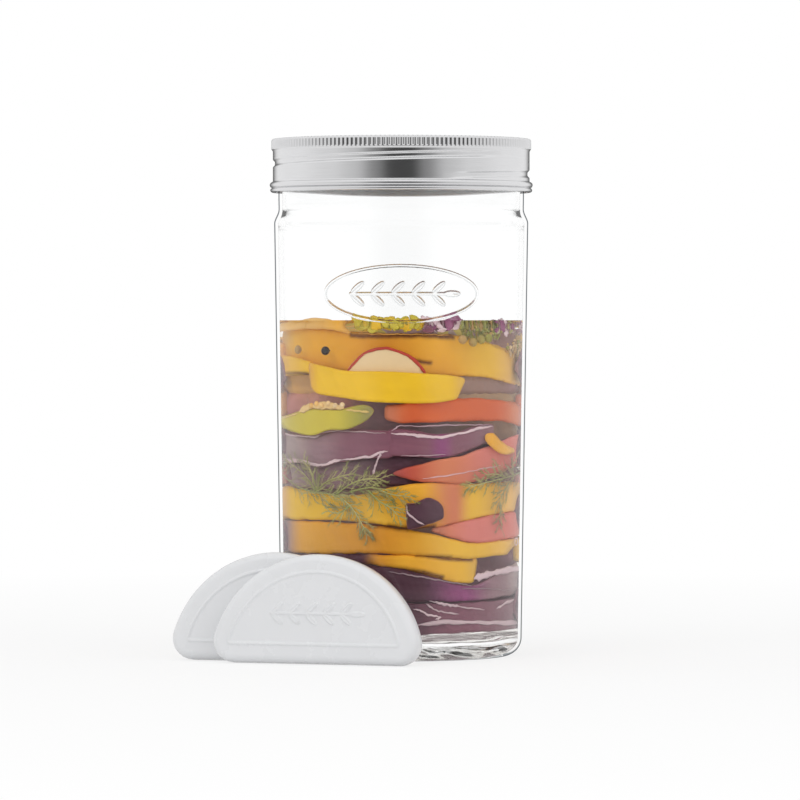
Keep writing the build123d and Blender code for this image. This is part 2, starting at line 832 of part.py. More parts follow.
# Contents seen from the back
contents += [
    wall_piece(
        "back_yellow_strip_upper",
        outer_layer,
        back,
        top_shares=[(-84, 0.985), (-30, 1.012), (20, 1.0), (84, 0.96)],
        bottom_shares=[(-84, 0.91), (-30, 0.93), (20, 0.915), (84, 0.87)],
    ),
    wall_piece(
        "back_orange_strip",
        outer_layer,
        back,
        top_shares=[(-74, 0.8), (-20, 0.855), (30, 0.86), (80, 0.8)],
        bottom_shares=[(-74, 0.745), (-20, 0.785), (30, 0.79), (80, 0.73)],
    ),
    wall_piece(
        "back_radish_slice",
        front_layer,
        back,
        top_shares=[(-48, 0.88), (-44, 0.935), (-31, 0.965), (-18, 0.935), (-14, 0.88)],
        bottom_shares=[(-48, 0.88), (-44, 0.825), (-31, 0.795), (-18, 0.825), (-14, 0.88)],
    ),
    wall_piece(
        "back_cabbage_leaf_upper",
        outer_layer,
        back,
        top_shares=[(-82, 0.69), (-40, 0.715), (0, 0.745), (40, 0.735), (82, 0.69)],
        bottom_shares=[(-82, 0.605), (-40, 0.59), (0, 0.61), (40, 0.62), (82, 0.6)],
    ),
    wall_piece(
        "back_green_chilli",
        front_layer,
        back,
        top_shares=[(8, 0.7), (22, 0.732), (44, 0.722), (58, 0.7)],
        bottom_shares=[(8, 0.7), (22, 0.662), (44, 0.655), (58, 0.7)],
    ),
    wall_piece(
        "back_pink_strip",
        outer_layer,
        back,
        top_shares=[(-75, 0.56), (-30, 0.57), (20, 0.59), (60, 0.588)],
        bottom_shares=[(-75, 0.51), (-30, 0.5), (20, 0.52), (60, 0.545)],
    ),
    wall_piece(
        "back_yellow_strip_middle",
        outer_layer,
        back,
        top_shares=[(-84, 0.48), (-30, 0.472), (20, 0.49), (84, 0.505)],
        bottom_shares=[(-84, 0.4), (-30, 0.388), (20, 0.4), (84, 0.415)],
    ),
    wall_piece(
        "back_cabbage_scrap",
        front_layer,
        back,
        top_shares=[(-30, 0.45), (-20, 0.475), (-8, 0.46)],
        bottom_shares=[(-32, 0.4), (-20, 0.385), (-6, 0.405)],
    ),
    wall_piece(
        "back_yellow_strip_lower",
        outer_layer,
        back,
        top_shares=[(-66, 0.365), (0, 0.36), (82, 0.385)],
        bottom_shares=[(-66, 0.305), (0, 0.28), (82, 0.295)],
    ),
    wall_piece(
        "back_cabbage_leaf_low",
        outer_layer,
        back,
        top_shares=[(-82, 0.26), (-30, 0.255), (20, 0.25), (82, 0.262)],
        bottom_shares=[(-82, 0.17), (-30, 0.175), (20, 0.165), (82, 0.17)],
    ),
    wall_piece(
        "back_cabbage_leaf_base",
        outer_layer,
        back,
        top_shares=[(-82, 0.158), (0, 0.152), (82, 0.158)],
        bottom_shares=[(-82, 0.088), (0, 0.085), (82, 0.088)],
    ),
]

# Scraps over the sides, where the long pieces end
contents += [
    wall_scraps("side_scraps_right", front_layer, right, middle_shares=(0.9, 0.64, 0.45, 0.16)),
    wall_scraps("side_scraps_left", front_layer, left, middle_shares=(0.88, 0.66, 0.37, 0.17)),
]

# Dill pressed against the glass
contents += [
    dill_sprig(
        "dill_sprig_left",
        front,
        [
            [(-74, 0.578), (-56, 0.54), (-30, 0.512), (-12, 0.545)],
            [(-30, 0.512), (-19, 0.48), (-13, 0.43)],
        ],
    ),
    dill_sprig(
        "dill_sprig_right",
        front,
        [
            [(76, 0.59), (60, 0.565), (40, 0.55)],
            [(60, 0.565), (50, 0.51), (49, 0.45)],
        ],
    ),
    dill_sprig(
        "dill_sprig_back",
        back,
        [
            [(-60, 0.63), (-35, 0.6), (-10, 0.585)],
            [(-35, 0.6), (-22, 0.56)],
        ],
    ),
]

# Pale curl near the right wall
with BuildPart() as white_curl:
    curl_place = wall_point(69, 0.357)
    with BuildSketch(turned_plane(front)):
        with Locations(curl_place):
            Circle(curl_diameter / 2)
            Circle(curl_diameter / 4, mode=Mode.SUBTRACT)
    extrude(amount=body_top_radius)
    add(front_layer, mode=Mode.INTERSECT)
save(white_curl, "white_curl")
contents.append(white_curl.part)

# Packed middle
core_names = ("core_cabbage_base", "core_peppers", "core_cabbage_upper", "core_leaves_top")
core_shares = (0.085, 0.36, 0.6, 0.82, 0.985)
for name, bottom_share, top_share in zip(core_names, core_shares, core_shares[1:]):
    contents.append(core_layer(name, bottom_share, top_share))

# Brine between the pieces
with BuildPart() as brine:
    with BuildSketch(Plane.XZ):
        with BuildLine():
            draw_interior(brine_level, wall_radius(brine_level))
        make_face()
    revolve(axis=Axis.Z)
    add(contents, mode=Mode.SUBTRACT)
save(brine, "brine")
print("brine", round(brine.part.volume), len(brine.part.solids()), len(contents))
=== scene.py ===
"""Dresses the fermentation jar: glass, band, airlock lid, weights and the vegetables packed in brine."""

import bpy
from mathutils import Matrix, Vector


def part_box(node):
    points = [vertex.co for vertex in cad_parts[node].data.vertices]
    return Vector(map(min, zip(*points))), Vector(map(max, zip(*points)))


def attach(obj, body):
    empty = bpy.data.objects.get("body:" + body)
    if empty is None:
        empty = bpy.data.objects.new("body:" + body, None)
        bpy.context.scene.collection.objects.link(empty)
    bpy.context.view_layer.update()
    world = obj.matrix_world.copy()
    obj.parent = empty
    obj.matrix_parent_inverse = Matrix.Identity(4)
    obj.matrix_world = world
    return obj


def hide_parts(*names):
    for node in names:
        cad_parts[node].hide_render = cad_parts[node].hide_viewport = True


bl_info = {
    "name": "Fermentation jar",
    "version": (1, 0, 0),
    "blender": (4, 5, 0),
    "location": "3D Viewport > Sidebar > Ferment jar",
    "description": "Builds a glass fermentation jar of pickled vegetables around its packed model",
    "category": "Object",
}

from math import asin, atan2, cos, exp, pi, radians, sin, sqrt

import bpy
import numpy as np
from bpy.props import FloatProperty, FloatVectorProperty, IntProperty, PointerProperty
from bpy.types import Operator, Panel, PropertyGroup

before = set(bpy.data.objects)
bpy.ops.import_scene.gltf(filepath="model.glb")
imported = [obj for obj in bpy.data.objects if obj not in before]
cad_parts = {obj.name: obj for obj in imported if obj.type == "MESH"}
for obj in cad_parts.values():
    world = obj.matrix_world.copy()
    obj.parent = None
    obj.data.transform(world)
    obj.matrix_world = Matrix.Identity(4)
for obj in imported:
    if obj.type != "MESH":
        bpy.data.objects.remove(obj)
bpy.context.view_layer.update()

MM = 0.001
FULL_TURN = 2 * pi
FRONT = -pi / 2
WHITE = (1.0, 1.0, 1.0)

# How strongly glass and brine bend light, how many bounces of light they take part in, and the
# roughness of a matt surface
GLASS_BEND = 1.5
BRINE_BEND = 1.33
DEEPEST_RAY = 8.5
MATT_ROUGHNESS = 0.6

# Points round the lid and the brine, and the radius of the ring of points next to the axis
ROUND_STEPS = 240
POLE = 0.002

# Depths and heights that the imported pieces share, in metres: how far their ends and painted shadow
# lines sink into the brine, the least gap to the wall, and the dents and upper edge of the packing's top
END_SINK = 0.0014
SEAM_SINK = 0.0005
WALL_GAP = 0.0003
TOP_DENT = 0.0008
TOP_EDGE = (0.004, 0.001)


def setting(kind, description, default, **options):
    """Kind of a setting and its options, still without its label."""
    return kind, {"description": description, "default": default, **options}


def length(description, millimetres):
    """Setting for a size, given in millimetres."""
    return setting(FloatProperty, description, millimetres * MM, unit="LENGTH", precision=5)


def number(description, default):
    """Setting for a plain number."""
    return setting(FloatProperty, description, default)


def degrees(description, default):
    """Setting for an angle, given in degrees."""
    return setting(FloatProperty, description, radians(default), subtype="ANGLE")


def count(description, default):
    """Setting for how many there are."""
    return setting(IntProperty, description, default)


def colour(description, default):
    """Setting for a colour."""
    return setting(FloatVectorProperty, description, default, subtype="COLOR", min=0, max=1)


def paint(description, *display):
    """Setting for a colour, given as red, green and blue of an 8-bit display."""
    shares = [value / 255 for value in display]
    linear = [s / 12.92 if s <= 0.04045 else ((s + 0.055) / 1.055) ** 2.4 for s in shares]
    return colour(description, linear)


def labelled(group):
    """Group in which each setting is labelled with its own name."""
    for name, (kind, options) in group.__annotations__.items():
        group.__annotations__[name] = kind(name=name.replace("_", " ").capitalize(), **options)
    return group


@labelled
class JarSettings(PropertyGroup):
    """Glass jar and its brine."""

    foot_radius: length("Radius of the body just above its heel", 46.2)
    shoulder_radius: length("Radius of the body below the shoulder", 48.7)
    heel_radius: length("Rounding between the foot and the body", 7)
    shoulder_height: length("Height at which the body turns in to the neck", 165.6)
    shoulder_rise: length("Height of the slope from the body to the neck", 3.4)
    wall: length("Thickness of the glass", 3.2)
    base: length("Height of the floor inside the jar", 7)
    inner_corner: length("Rounding between the floor and the wall inside", 5)
    punt_radius: length("Radius of the hollow under the base", 36)
    punt_height: length("Height of the hollow under the base", 2)
    neck_radius: length("Outer radius of the neck", 47)
    ring_radius: length("Outer radius of the transfer ring", 47.6)
    ring_bottom: length("Height at which the transfer ring starts", 173)
    ring_height: length("Height of the transfer ring", 4)
    mouth_radius: length("Inner radius of the neck", 44.4)
    mouth_depth: length("Depth of the straight part of the mouth", 24)
    rim_rounding: length("Rounding of the rim", 1)
    thread_height: length("How far the thread stands out", 1.3)
    thread_width: length("Width of the thread at its root", 2.2)
    thread_bottom: length("Height at which the thread starts", 181.5)
    thread_pitch: length("Rise of the thread in one turn", 8)
    thread_turns: number("Turns of the thread", 1.25)
    thread_start: degrees("Turn at which the thread starts", -267.75)
    brine_level: length("Height of the brine", 128)
    packing_level: length("Height that the places of the contents are shares of", 123)
    meniscus: length("How far the brine climbs at the glass", 0.6)
    glass_colour: colour("Colour of the glass", (0.995, 0.998, 0.998))
    # The side and edge colours are painted shade: the glass greys towards its outline, and a dark line is
    # painted where it is seen edge on and on the ornament's slopes
    side_colour: colour("Colour of the glass towards its sides", (0.975, 0.98, 0.985))
    edge_colour: colour("Colour of the glass where it is seen edge on", (0.36, 0.38, 0.39))
    brine_colour: colour("Colour of the brine", (0.99, 0.975, 0.95))


@labelled
class OrnamentSettings(PropertyGroup):
    """Leaf ornament raised on the glass and on the weights."""

    oval_width: length("Width of the oval on the glass", 58)
    oval_height: length("Height of the oval on the glass", 22)
    oval_middle: length("Height of the middle of the oval", 138.5)
    line_width: length("Width of the raised lines", 0.9)
    glass_relief: length("How far the ornament stands out of the glass", 0.5)
    leaf_length: length("Length of a leaf", 7)
    leaf_width: length("Width of a leaf", 2.8)
    leaf_tilt: degrees("Angle between a leaf and the stem", 42)
    leaf_pairs: count("Pairs of leaves on the stem", 5)
    stem_length: length("Length of the stem", 38)
    stem_width: length("Width of the stem", 0.8)


@labelled
class BandSettings(PropertyGroup):
    """Screw band."""

    radius: length("Outer radius of the band", 49.2)
    sheet: length("Thickness of the steel", 0.5)
    skirt_radius: length("Radius over the knurled ring", 49.8)
    skirt_height: length("Height of the knurled ring", 4.3)
    corner: length("Rounding of the top edge", 1)
    hole_radius: length("Radius of the open middle", 40.5)
    bead_radius: length("Radius over the rolled bead", 50.4)
    bead_height: length("Height of the rolled bead", 4)
    knurl_count: count("Number of ribs round the band", 176)
    knurl_depth: length("Depth of the knurling", 0.4)
    groove_depth: length("Depth of the rolled thread", 0.8)
    groove_width: length("Width of the rolled thread", 3.2)
    groove_turns: number("Turns of the rolled thread", 1.1)
    groove_start: degrees("Turn at which the rolled thread starts", -72)
    groove_bottom: length("Height of the thread's first turn above the band's foot", 5.45)
    steel_colour: colour("Colour of the steel", (0.72, 0.72, 0.73))


@labelled
class LidSettings(PropertyGroup):
    """Airlock lid."""

    flange: length("Thickness of the flange on the rim", 2.2)
    skirt: length("Thickness of the plug's wall", 1.8)
    web: length("Thickness of the floor of the lid", 1.6)
    ring_radius: length("Inner radius of the raised ring", 24)
    ring_width: length("Width of the raised ring", 2)
    ring_height: length("Height of the raised ring", 1.2)
    collar_radius: length("Radius of the valve's collar", 10)
    collar_height: length("Height of the valve's collar", 1.6)
    valve_radius: length("Radius of the valve at its foot", 6.5)
    valve_height: length("Height of the valve above its collar", 6.4)
    lip_length: length("Length of the valve's lips", 9)
    lip_width: length("Width over the valve's lips", 2.6)
    slit_length: length("Length of the slit", 6.5)
    silicone_colour: paint("Colour of the lid", 205, 208, 210)


@labelled
class WeightSettings(PropertyGroup):
    """Half-moon weights."""

    height: length("Height of a weight", 41)
    arc_radius: length("Radius of the round edge", 42)
    thickness: length("Thickness of a weight", 9.5)
    corner: length("Rounding of the outline's corners", 8)
    edge: length("Rounding between the faces and the rim", 3)
    relief: length("How far the ornament stands out", 0.4)
    line_inset: length("Distance of the raised line from the outline", 6.5)
    turn: degrees("Turn about the jar's axis", -19.5)
    lean: degrees("Lean towards the jar", 7)
    glaze_colour: paint("Colour of the glaze", 226, 227, 229)


@labelled
class VegetableSettings(PropertyGroup):
    """Colours of the vegetables, some of them painted lit and shaded copies of another, and of the cloudy
    brine in front of them, which the pieces also emit as a painted glow.
    """

    yellow: paint("Flesh of yellow pepper", 238, 190, 34)
    gold: paint("Yellow pepper in the brine", 236, 184, 56)
    amber: paint("Ripe yellow pepper", 234, 168, 44)
    rust: paint("Shaded orange pepper", 220, 148, 38)
    pale: paint("Pale pepper above the brine", 238, 188, 108)
    orange: paint("Flesh of orange pepper", 214, 100, 54)
    washed: paint("Washed-out orange pepper", 212, 122, 84)
    red: paint("Flesh of red pepper", 190, 76, 62)
    pink: paint("Washed-out red pepper", 220, 128, 118)
    lime: paint("Skin of green chilli", 204, 186, 62)
    olive: paint("Skin of chilli and herbs in the shade", 152, 148, 66)
    peach: paint("Seed bed of a chilli", 238, 200, 140)
    cream: paint("Flesh of radish", 232, 204, 160)
    skin_red: paint("Skin of radish", 186, 54, 44)
    purple: paint("Skin of red cabbage", 82, 50, 64)
    plum: paint("Red cabbage in the light", 132, 84, 100)
    magenta: paint("Young red cabbage", 142, 70, 118)
    mauve: paint("Faded red cabbage", 150, 118, 126)
    mist: paint("Red cabbage deep in cloudy brine", 172, 150, 150)
    rib: paint("Cut edge of red cabbage", 226, 200, 206)
    # Painted shade: the dark colour of the painted shadow lines along the pieces' edges
    seam: paint("Dark line between pieces", 104, 56, 24)
    dill: paint("Fronds of dill", 146, 150, 84)
    dill_pale: paint("Fronds of dill against the light", 190, 184, 122)
    dill_dark: paint("Tips of dill", 92, 108, 50)
    tan: paint("Coriander and seed heads", 186, 148, 92)
    pepper_black: paint("Black peppercorns", 46, 40, 42)
    veil_high: paint("Cloudy brine near the top", 168, 144, 122)
    veil_middle: paint("Cloudy brine half way down", 132, 112, 112)
    veil_low: paint("Cloudy brine near the base", 112, 88, 98)


@labelled
class StageSettings(PropertyGroup):
    """Floor, lights and camera."""

    floor_radius: length("Radius of the floor", 12000)
    floor_colour: colour("Colour of the floor", (0.86, 0.86, 0.86))
    camera_distance: length("Distance of the camera from the jar", 2100)
    camera_height: length("Height of the camera", 128.4)
    camera_side: length("Sideways place of the camera", -0.46)
    camera_tilt: degrees("How far the camera looks down", 0.83)
    focal_length: number("Lens, in millimetres", 246.3)
    behind_lift: number("Share by which the white seen through glass is raised", 0.02)
    ambient: number("Light from all round", 0.65)


def settings(name):
    """One of the scene's groups of settings."""
    return getattr(bpy.context.scene, f"jar_{name}")


def smoothstep(low, high, value):
    """Smooth rise from 0 at low to 1 at high."""
    share = np.clip((value - low) / (high - low), 0, 1)
    return share * share * (3 - 2 * share)


def graded(start, end, coarse, zones=(), growth=0.15):
    """Places from start to end, close together inside each zone and wider apart away from it."""
    places = [start]
    while places[-1] < end:
        here = places[-1]
        step = coarse
        for low, high, fine in zones:
            step = min(step, fine + growth * max(low - here, here - high, 0))
        places.append(here + step)
    return np.array(places[:-1] + [end])


def arc(middle, radius, start, end, steps, rise=None):
    """Points on an arc in a half section, between two angles in degrees; rise is its height if not round."""
    turns = np.radians(np.linspace(start, end, steps))
    rise = radius if rise is None else rise
    return [(middle[0] + radius * cos(t), middle[1] + rise * sin(t)) for t in turns]


def ripple(seed, *coordinates):
    """Smooth random swell between about -1 and 1 over the given coordinates, in waves."""
    chance = np.random.default_rng(seed)
    total = 0
    for octave in range(4):
        phase = chance.uniform(0, FULL_TURN)
        for coordinate in coordinates:
            phase = phase + coordinate * chance.uniform(0.6, 1.6) * 1.7**octave
            phase = phase + 0.6 * np.sin(coordinate * chance.uniform(0.3, 0.9) + chance.uniform(0, FULL_TURN))
        total = total + np.sin(phase) / (octave + 1.4)
    return total / 1.7


def body_radius(height):
    """Outer radius of the tapered body at a height."""
    jar = settings("jar")
    share = (height - jar.heel_radius) / (jar.shoulder_height - jar.heel_radius)
    return jar.foot_radius + (jar.shoulder_radius - jar.foot_radius) * share


def wall_radius(height):
    """Radius of the inner face of the wall at a height."""
    return body_radius(height) - settings("jar").wall


def wall_place(angle, height, depth):
    """Points at an angle from the front, a height and a depth behind the wall."""
    radius = wall_radius(height) - depth
    return np.stack([radius * np.sin(angle), -radius * np.cos(angle), height + 0 * angle], axis=-1)


def level_line(height, start, end, steps):
    """Points at a height in a half section, from one radius to another."""
    return [(radius, height) for radius in np.linspace(start, end, steps)]


def upright_line(radius, start, end, steps):
    """Points at a radius in a half section, from one height to another."""
    return [(radius, height) for height in np.linspace(start, end, steps)]


def add_object(name, data):
    """Object put in the scene."""
    made = bpy.data.objects.new(name, data)
    bpy.context.scene.collection.objects.link(made)
    return made


def build_mesh(name, vertices, faces, values=None):
    """Smooth mesh from arrays, with named values on its vertices."""
    mesh = bpy.data.meshes.new(name)
    mesh.from_pydata(np.asarray(vertices, float).tolist(), [], faces)
    for label, numbers in (values or {}).items():
        layer = mesh.attributes.new(label, "FLOAT", "POINT")
        layer.data.foreach_set("value", np.asarray(numbers, np.float32).ravel())
    mesh.shade_smooth()
    mesh.update()
    return mesh


def finish_piece(name, shape, body, material, nodes, values=None):
    """Object of a shape's vertices and faces that rides on its body and stands for its nodes."""
    mesh = build_mesh(name, *shape, values)
    piece = add_object(name, mesh)
    mesh.materials.append(material)
    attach(piece, body)
    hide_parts(*nodes)


def finish_packed(node, shape, material, values):
    """Finished piece of what is packed in the jar."""
    finish_piece(f"packed_{node}", shape, "jar", material, [node], values)


def grid_faces(rows, columns, wrap_rows=False, start=0):
    """Quads of a grid of vertices stored row by row, in which each row is a closed loop."""
    faces = []
    for row in range(rows if wrap_rows else rows - 1):
        here, above = start + row * columns, start + (row + 1) % rows * columns
        for column in range(columns):
            beside = (column + 1) % columns
            faces.append((here + column, here + beside, above + beside, above + column))
    return faces


def cap_faces(rows, columns):
    """Triangles that close a grid's first and last rows with the two vertices that follow the grid."""
    first_pole, last_row = rows * columns, (rows - 1) * columns
    faces = []
    for column in range(columns):
        beside = (column + 1) % columns
        faces.append((first_pole, beside, column))
        faces.append((first_pole + 1, last_row + column, last_row + beside))
    return faces


def half_section(profile, angles):
    """Grids of angles, radii and heights of a half section turned about the axis."""
    radii, heights = np.array(profile, float).T
    turn, radius = np.meshgrid(angles, radii)
    return turn, radius, np.meshgrid(angles, heights)[1]


def around(turn, radius, height):
    """Points at angles, radii and heights about the axis."""
    return np.stack([radius * np.cos(turn), radius * np.sin(turn), height], axis=-1)


def turned(profile, angles, change, closed=False):
    """Vertices and faces of a half section turned about the axis.

    The profile runs from the axis at the bottom, outside first, to the axis at the top, or is a
    closed ring. change gives what is added to each radius and height from the grid of angles,
    radii and heights.
    """
    turn, radius, height = half_section(profile, angles)
    more_radius, more_height = change(turn, radius, height)
    grid = around(turn, radius + more_radius, height + more_height)
    vertices, faces = grid.reshape(-1, 3), grid_faces(*turn.shape, wrap_rows=closed)
    if not closed:
        vertices = np.vstack([vertices, *[(0, 0, row[:, 2].mean()) for row in (grid[0], grid[-1])]])
        faces += cap_faces(*turn.shape)
    return vertices, faces


def tube(points, radii, sides, flat=1.0, outwards=None):
    """Vertices and faces of a closed tube along points, flattened towards outwards if flat is under 1."""
    points = np.asarray(points, float)
    along = np.gradient(points, axis=0)
    along /= np.linalg.norm(along, axis=1, keepdims=True) + 1e-12
    if outwards is None:
        outwards = points * (1, 1, 0)
    side = np.cross(along, outwards)
    side /= np.linalg.norm(side, axis=1, keepdims=True) + 1e-12
    out = np.cross(side, along)
    radii = np.asarray(radii, float)[:, None]
    turns = FULL_TURN * np.arange(sides) / sides
    rings = [points + side * radii * cos(turn) + out * radii * flat * sin(turn) for turn in turns]
    vertices = np.stack(rings, axis=1).reshape(-1, 3)
    count = len(points)
    faces = [tuple(reversed(face)) for face in grid_faces(count, sides)]
    faces.append(tuple(range(sides)))
    faces.append(tuple(reversed(range((count - 1) * sides, count * sides))))
    return vertices, faces


def joined(parts):
    """One set of vertices and faces from several."""
    vertices, faces, start = [], [], 0
    for more_vertices, more_faces in parts:
        vertices.append(more_vertices)
        faces += [tuple(start + corner for corner in face) for face in more_faces]
        start += len(more_vertices)
    return np.vstack(vertices), faces


def smooth_line(points, count):
    """Points evenly spread on a smooth line through a few points."""
    points = np.asarray(points, float)
    ends = [2 * points[0] - points[1], *points, 2 * points[-1] - points[-2]]
    spots = np.linspace(0, len(points) - 1 - 1e-6, count)
    line = []
    for spot in spots:
        index = int(spot)
        share = spot - index
        before, here, there, after = ends[index:index + 4]
        line.append(
            0.5 * (
                2 * here
                + (there - before) * share
                + (2 * before - 5 * here + 4 * there - after) * share**2
                + (3 * here - before - 3 * there + after) * share**3
            )
        )
    return np.array(line)


def grey(level):
    """Grey of a level between 0 and 1."""
    return (level,) * 3


def opaque(values):
    """Colour with full opacity."""
    return (*values[:3], 1.0)


def new_tree(name):
    """Material with an empty node tree, and the socket of its surface."""
    material = bpy.data.materials.new(name)
    material.use_nodes = True
    tree = material.node_tree
    tree.nodes.clear()
    return material, tree, add_node(tree, "OutputMaterial").inputs["Surface"]


def feed(tree, socket, value):
    """Link a socket to an input, or set the input to a value."""
    if isinstance(value, bpy.types.NodeSocket):
        tree.links.new(value, socket)
    else:
        socket.default_value = value


def add_node(tree, kind, values=None, **options):
    """Node with its options set and its inputs given as values or as sockets to link."""
    node = tree.nodes.new(f"ShaderNode{kind}")
    for key, option in options.items():
        setattr(node, key, option)
    for key, value in (values or {}).items():
        feed(tree, node.inputs[key], value)
    return node


def ramp(tree, factor, stops, smooth=True):
    """Colour ramp through places and colours."""
    node = add_node(tree, "ValToRGB", {"Fac": factor})
    elements = node.color_ramp.elements
    while len(elements) < len(stops):
        elements.new(1)
    for element, (place, tint) in zip(elements, stops):
        element.position = place
        element.color = opaque(tint)
    node.color_ramp.interpolation = "EASE" if smooth else "LINEAR"
    return node.outputs["Color"]


def grey_ramp(tree, factor, stops):
    """Ramp through places and levels of grey."""
    return ramp(tree, factor, [(place, grey(level)) for place, level in stops])


def rising(tree, value, low, high, start=0.0):
    """Rise from start to 1 while a value goes from low to high."""
    values = {"Value": value, "From Min": low, "From Max": high, "To Min": start}
    return add_node(tree, "MapRange", values).outputs[0]


def mix(tree, factor, first, second):
    """Colour mixed from two colours or sockets."""
    node = add_node(tree, "Mix", {0: factor}, data_type="RGBA")
    for index, value in ((6, first), (7, second)):
        feed(tree, node.inputs[index], value if isinstance(value, bpy.types.NodeSocket) else opaque(value))
    return node.outputs[2]


def blended(tree, share, first, second):
    """Shader mixed from two shaders."""
    return add_node(tree, "MixShader", {0: share, 1: first, 2: second}).outputs[0]


def maths(tree, operation, *values):
    """Result of a sum on values or sockets."""
    return add_node(tree, "Math", dict(enumerate(values)), operation=operation).outputs[0]


def vertex_value(tree, name):
    """Named value of the vertices."""
    return add_node(tree, "Attribute", attribute_name=name).outputs["Fac"]


def shader_group(name, inputs, outputs):
    """Empty node group with named sockets, and the sockets of its two ends."""
    tree = bpy.data.node_groups.new(name, "ShaderNodeTree")
    for label, kind, default in inputs:
        socket = tree.interface.new_socket(label, in_out="INPUT", socket_type=f"NodeSocket{kind}")
        socket.default_value = default
    for label, kind in outputs:
        tree.interface.new_socket(label, in_out="OUTPUT", socket_type=f"NodeSocket{kind}")
    return tree, tree.nodes.new("NodeGroupInput").outputs, tree.nodes.new("NodeGroupOutput").inputs


def layered_noise(tree, start, detail, roughness):
    """Noise of a group's size, stretched by its layering."""
    place = add_node(tree, "TexCoord").outputs["Object"]
    stretch = add_node(tree, "CombineXYZ", {"X": 1.0, "Y": 1.0, "Z": start["Layering"]})
    values = {0: place, 1: stretch.outputs[0]}
    stretched = add_node(tree, "VectorMath", values, operation="MULTIPLY").outputs[0]
    values = {"Vector": stretched, "Scale": start["Size"], "Detail": detail, "Roughness": roughness}
    return add_node(tree, "TexNoise", values).outputs["Fac"]


def mottling_group(name):
    """Group that varies a colour in soft patches, stretched along the jar's width if asked."""
    tree, start, end = shader_group(
        name,
        [
            ("Colour", "Color", opaque(WHITE)),
            ("Size", "Float", 200.0),
            ("Layering", "Float", 1.0),
            ("Amount", "Float", 0.3),
        ],
        [("Colour", "Color"), ("Patches", "Float")],
    )
    patches = layered_noise(tree, start, detail=5.0, roughness=0.6)
    swing = maths(tree, "SUBTRACT", patches, 0.5)
    value = maths(tree, "MULTIPLY_ADD", swing, maths(tree, "MULTIPLY", start["Amount"], 3.0), 1.0)
    hue = maths(tree, "MULTIPLY_ADD", swing, maths(tree, "MULTIPLY", start["Amount"], 0.12), 0.5)
    values = {"Hue": hue, "Value": value, "Color": start["Colour"]}
    tree.links.new(add_node(tree, "HueSaturation", values).outputs[0], end["Colour"])
    tree.links.new(patches, end["Patches"])
    return tree


def veil_group(name):
    """Group that hides a colour behind cloudy brine by the value that the vertices carry, and gives the
    cloud's colour by that value as a painted glow.
    """
    greens = settings("vegetables")
    tree, start, end = shader_group(
        name, [("Colour", "Color", opaque(WHITE))], [("Colour", "Color"), ("Scatter", "Color")]
    )
    place = add_node(tree, "TexCoord").outputs["Object"]
    height = add_node(tree, "SeparateXYZ", {0: place}).outputs["Z"]
    drift = add_node(tree, "TexNoise", {"Vector": place, "Scale": 28.0, "Detail": 2.0})
    wander = maths(tree, "MULTIPLY_ADD", drift.outputs["Fac"], 0.03, maths(tree, "SUBTRACT", height, 0.015))
    share = rising(tree, wander, 0.0, settings("jar").brine_level)
    tints = (greens.veil_low, greens.veil_middle, greens.veil_middle, greens.veil_high)
    cloud = ramp(tree, share, list(zip((0.12, 0.4, 0.7, 0.84), tints)))
    hidden = vertex_value(tree, "veil")
    tree.links.new(mix(tree, hidden, start["Colour"], cloud), end["Colour"])
    # Painted glow: the cloud's colour by how far the brine veils, emitted by the flesh to lift the shade on
    # deep pieces
    tree.links.new(mix(tree, hidden, grey(0.0), cloud), end["Scatter"])
    return tree


def surface_group(name):
    """Group that gives the fine relief of a surface as a height."""
    tree, start, end = shader_group(
        name, [("Size", "Float", 600.0), ("Layering", "Float", 1.0)], [("Height", "Float")]
    )
    tree.links.new(layered_noise(tree, start, detail=4.0, roughness=0.55), end["Height"])
    return tree


def studio_group(name):
    """Group that gives the studio seen in a direction: dark in front of the jar, bright beside and above."""
    tree, start, end = shader_group(
        name, [("Direction", "Vector", (0, 0, 1))], [("Mirrored", "Color"), ("Through", "Color")]
    )
    ahead = add_node(tree, "VectorMath", {0: start["Direction"]}, operation="NORMALIZE").outputs[0]
    parts = add_node(tree, "SeparateXYZ", {0: ahead}).outputs
    sideways = maths(tree, "ABSOLUTE", parts["X"])
    forwards = maths(tree, "MULTIPLY", parts["Y"], -1.0)
    turn = maths(tree, "DIVIDE", maths(tree, "ARCTAN2", sideways, forwards), pi)
    upwards = grey_ramp(tree, parts["Z"], CEILING_START)
    for label, stops in STUDIO_WALLS.items():
        tree.links.new(mix(tree, upwards, grey_ramp(tree, turn, stops), WHITE), end[label])
    return tree


# Levels of grey of the studio: its walls from the front of the jar (0) round to its back (1), as the
# jar mirrors them and as they are seen through it, and how high up the bright ceiling starts
STUDIO_WALLS = {
    "Mirrored": (
        (0.0, 0.07), (0.05, 0.07), (0.13, 0.3), (0.24, 0.7), (0.36, 0.86), (0.6, 1.0), (0.8, 1.0),
        (0.93, 0.12),
    ),
    "Through": ((0.06, 0.07), (0.22, 1.0)),
}
CEILING_START = ((0.2, 0.0), (0.5, 1.0))

SHARED_GROUPS = {
    "Mottling": mottling_group,
    "Brine veil": veil_group,
    "Fine surface": surface_group,
    "Studio walls": studio_group,
}


def use_group(tree, name, values):
    """Outputs of a shared group placed in a material with its own values."""
    group = bpy.data.node_groups.get(name) or SHARED_GROUPS[name](name)
    return add_node(tree, "Group", values, node_tree=group).outputs


def bumped(tree, size, layering, distance):
    """Normal with the fine relief of a surface."""
    fine = use_group(tree, "Fine surface", {"Size": size, "Layering": layering})
    values = {"Height": fine["Height"], "Distance": distance, "Strength": 1.0}
    return add_node(tree, "Bump", values).outputs["Normal"]


def finish_surface(tree, surface, values):
    """Principled surface with its values, as what the material shows."""
    tree.links.new(add_node(tree, "BsdfPrincipled", values).outputs[0], surface)


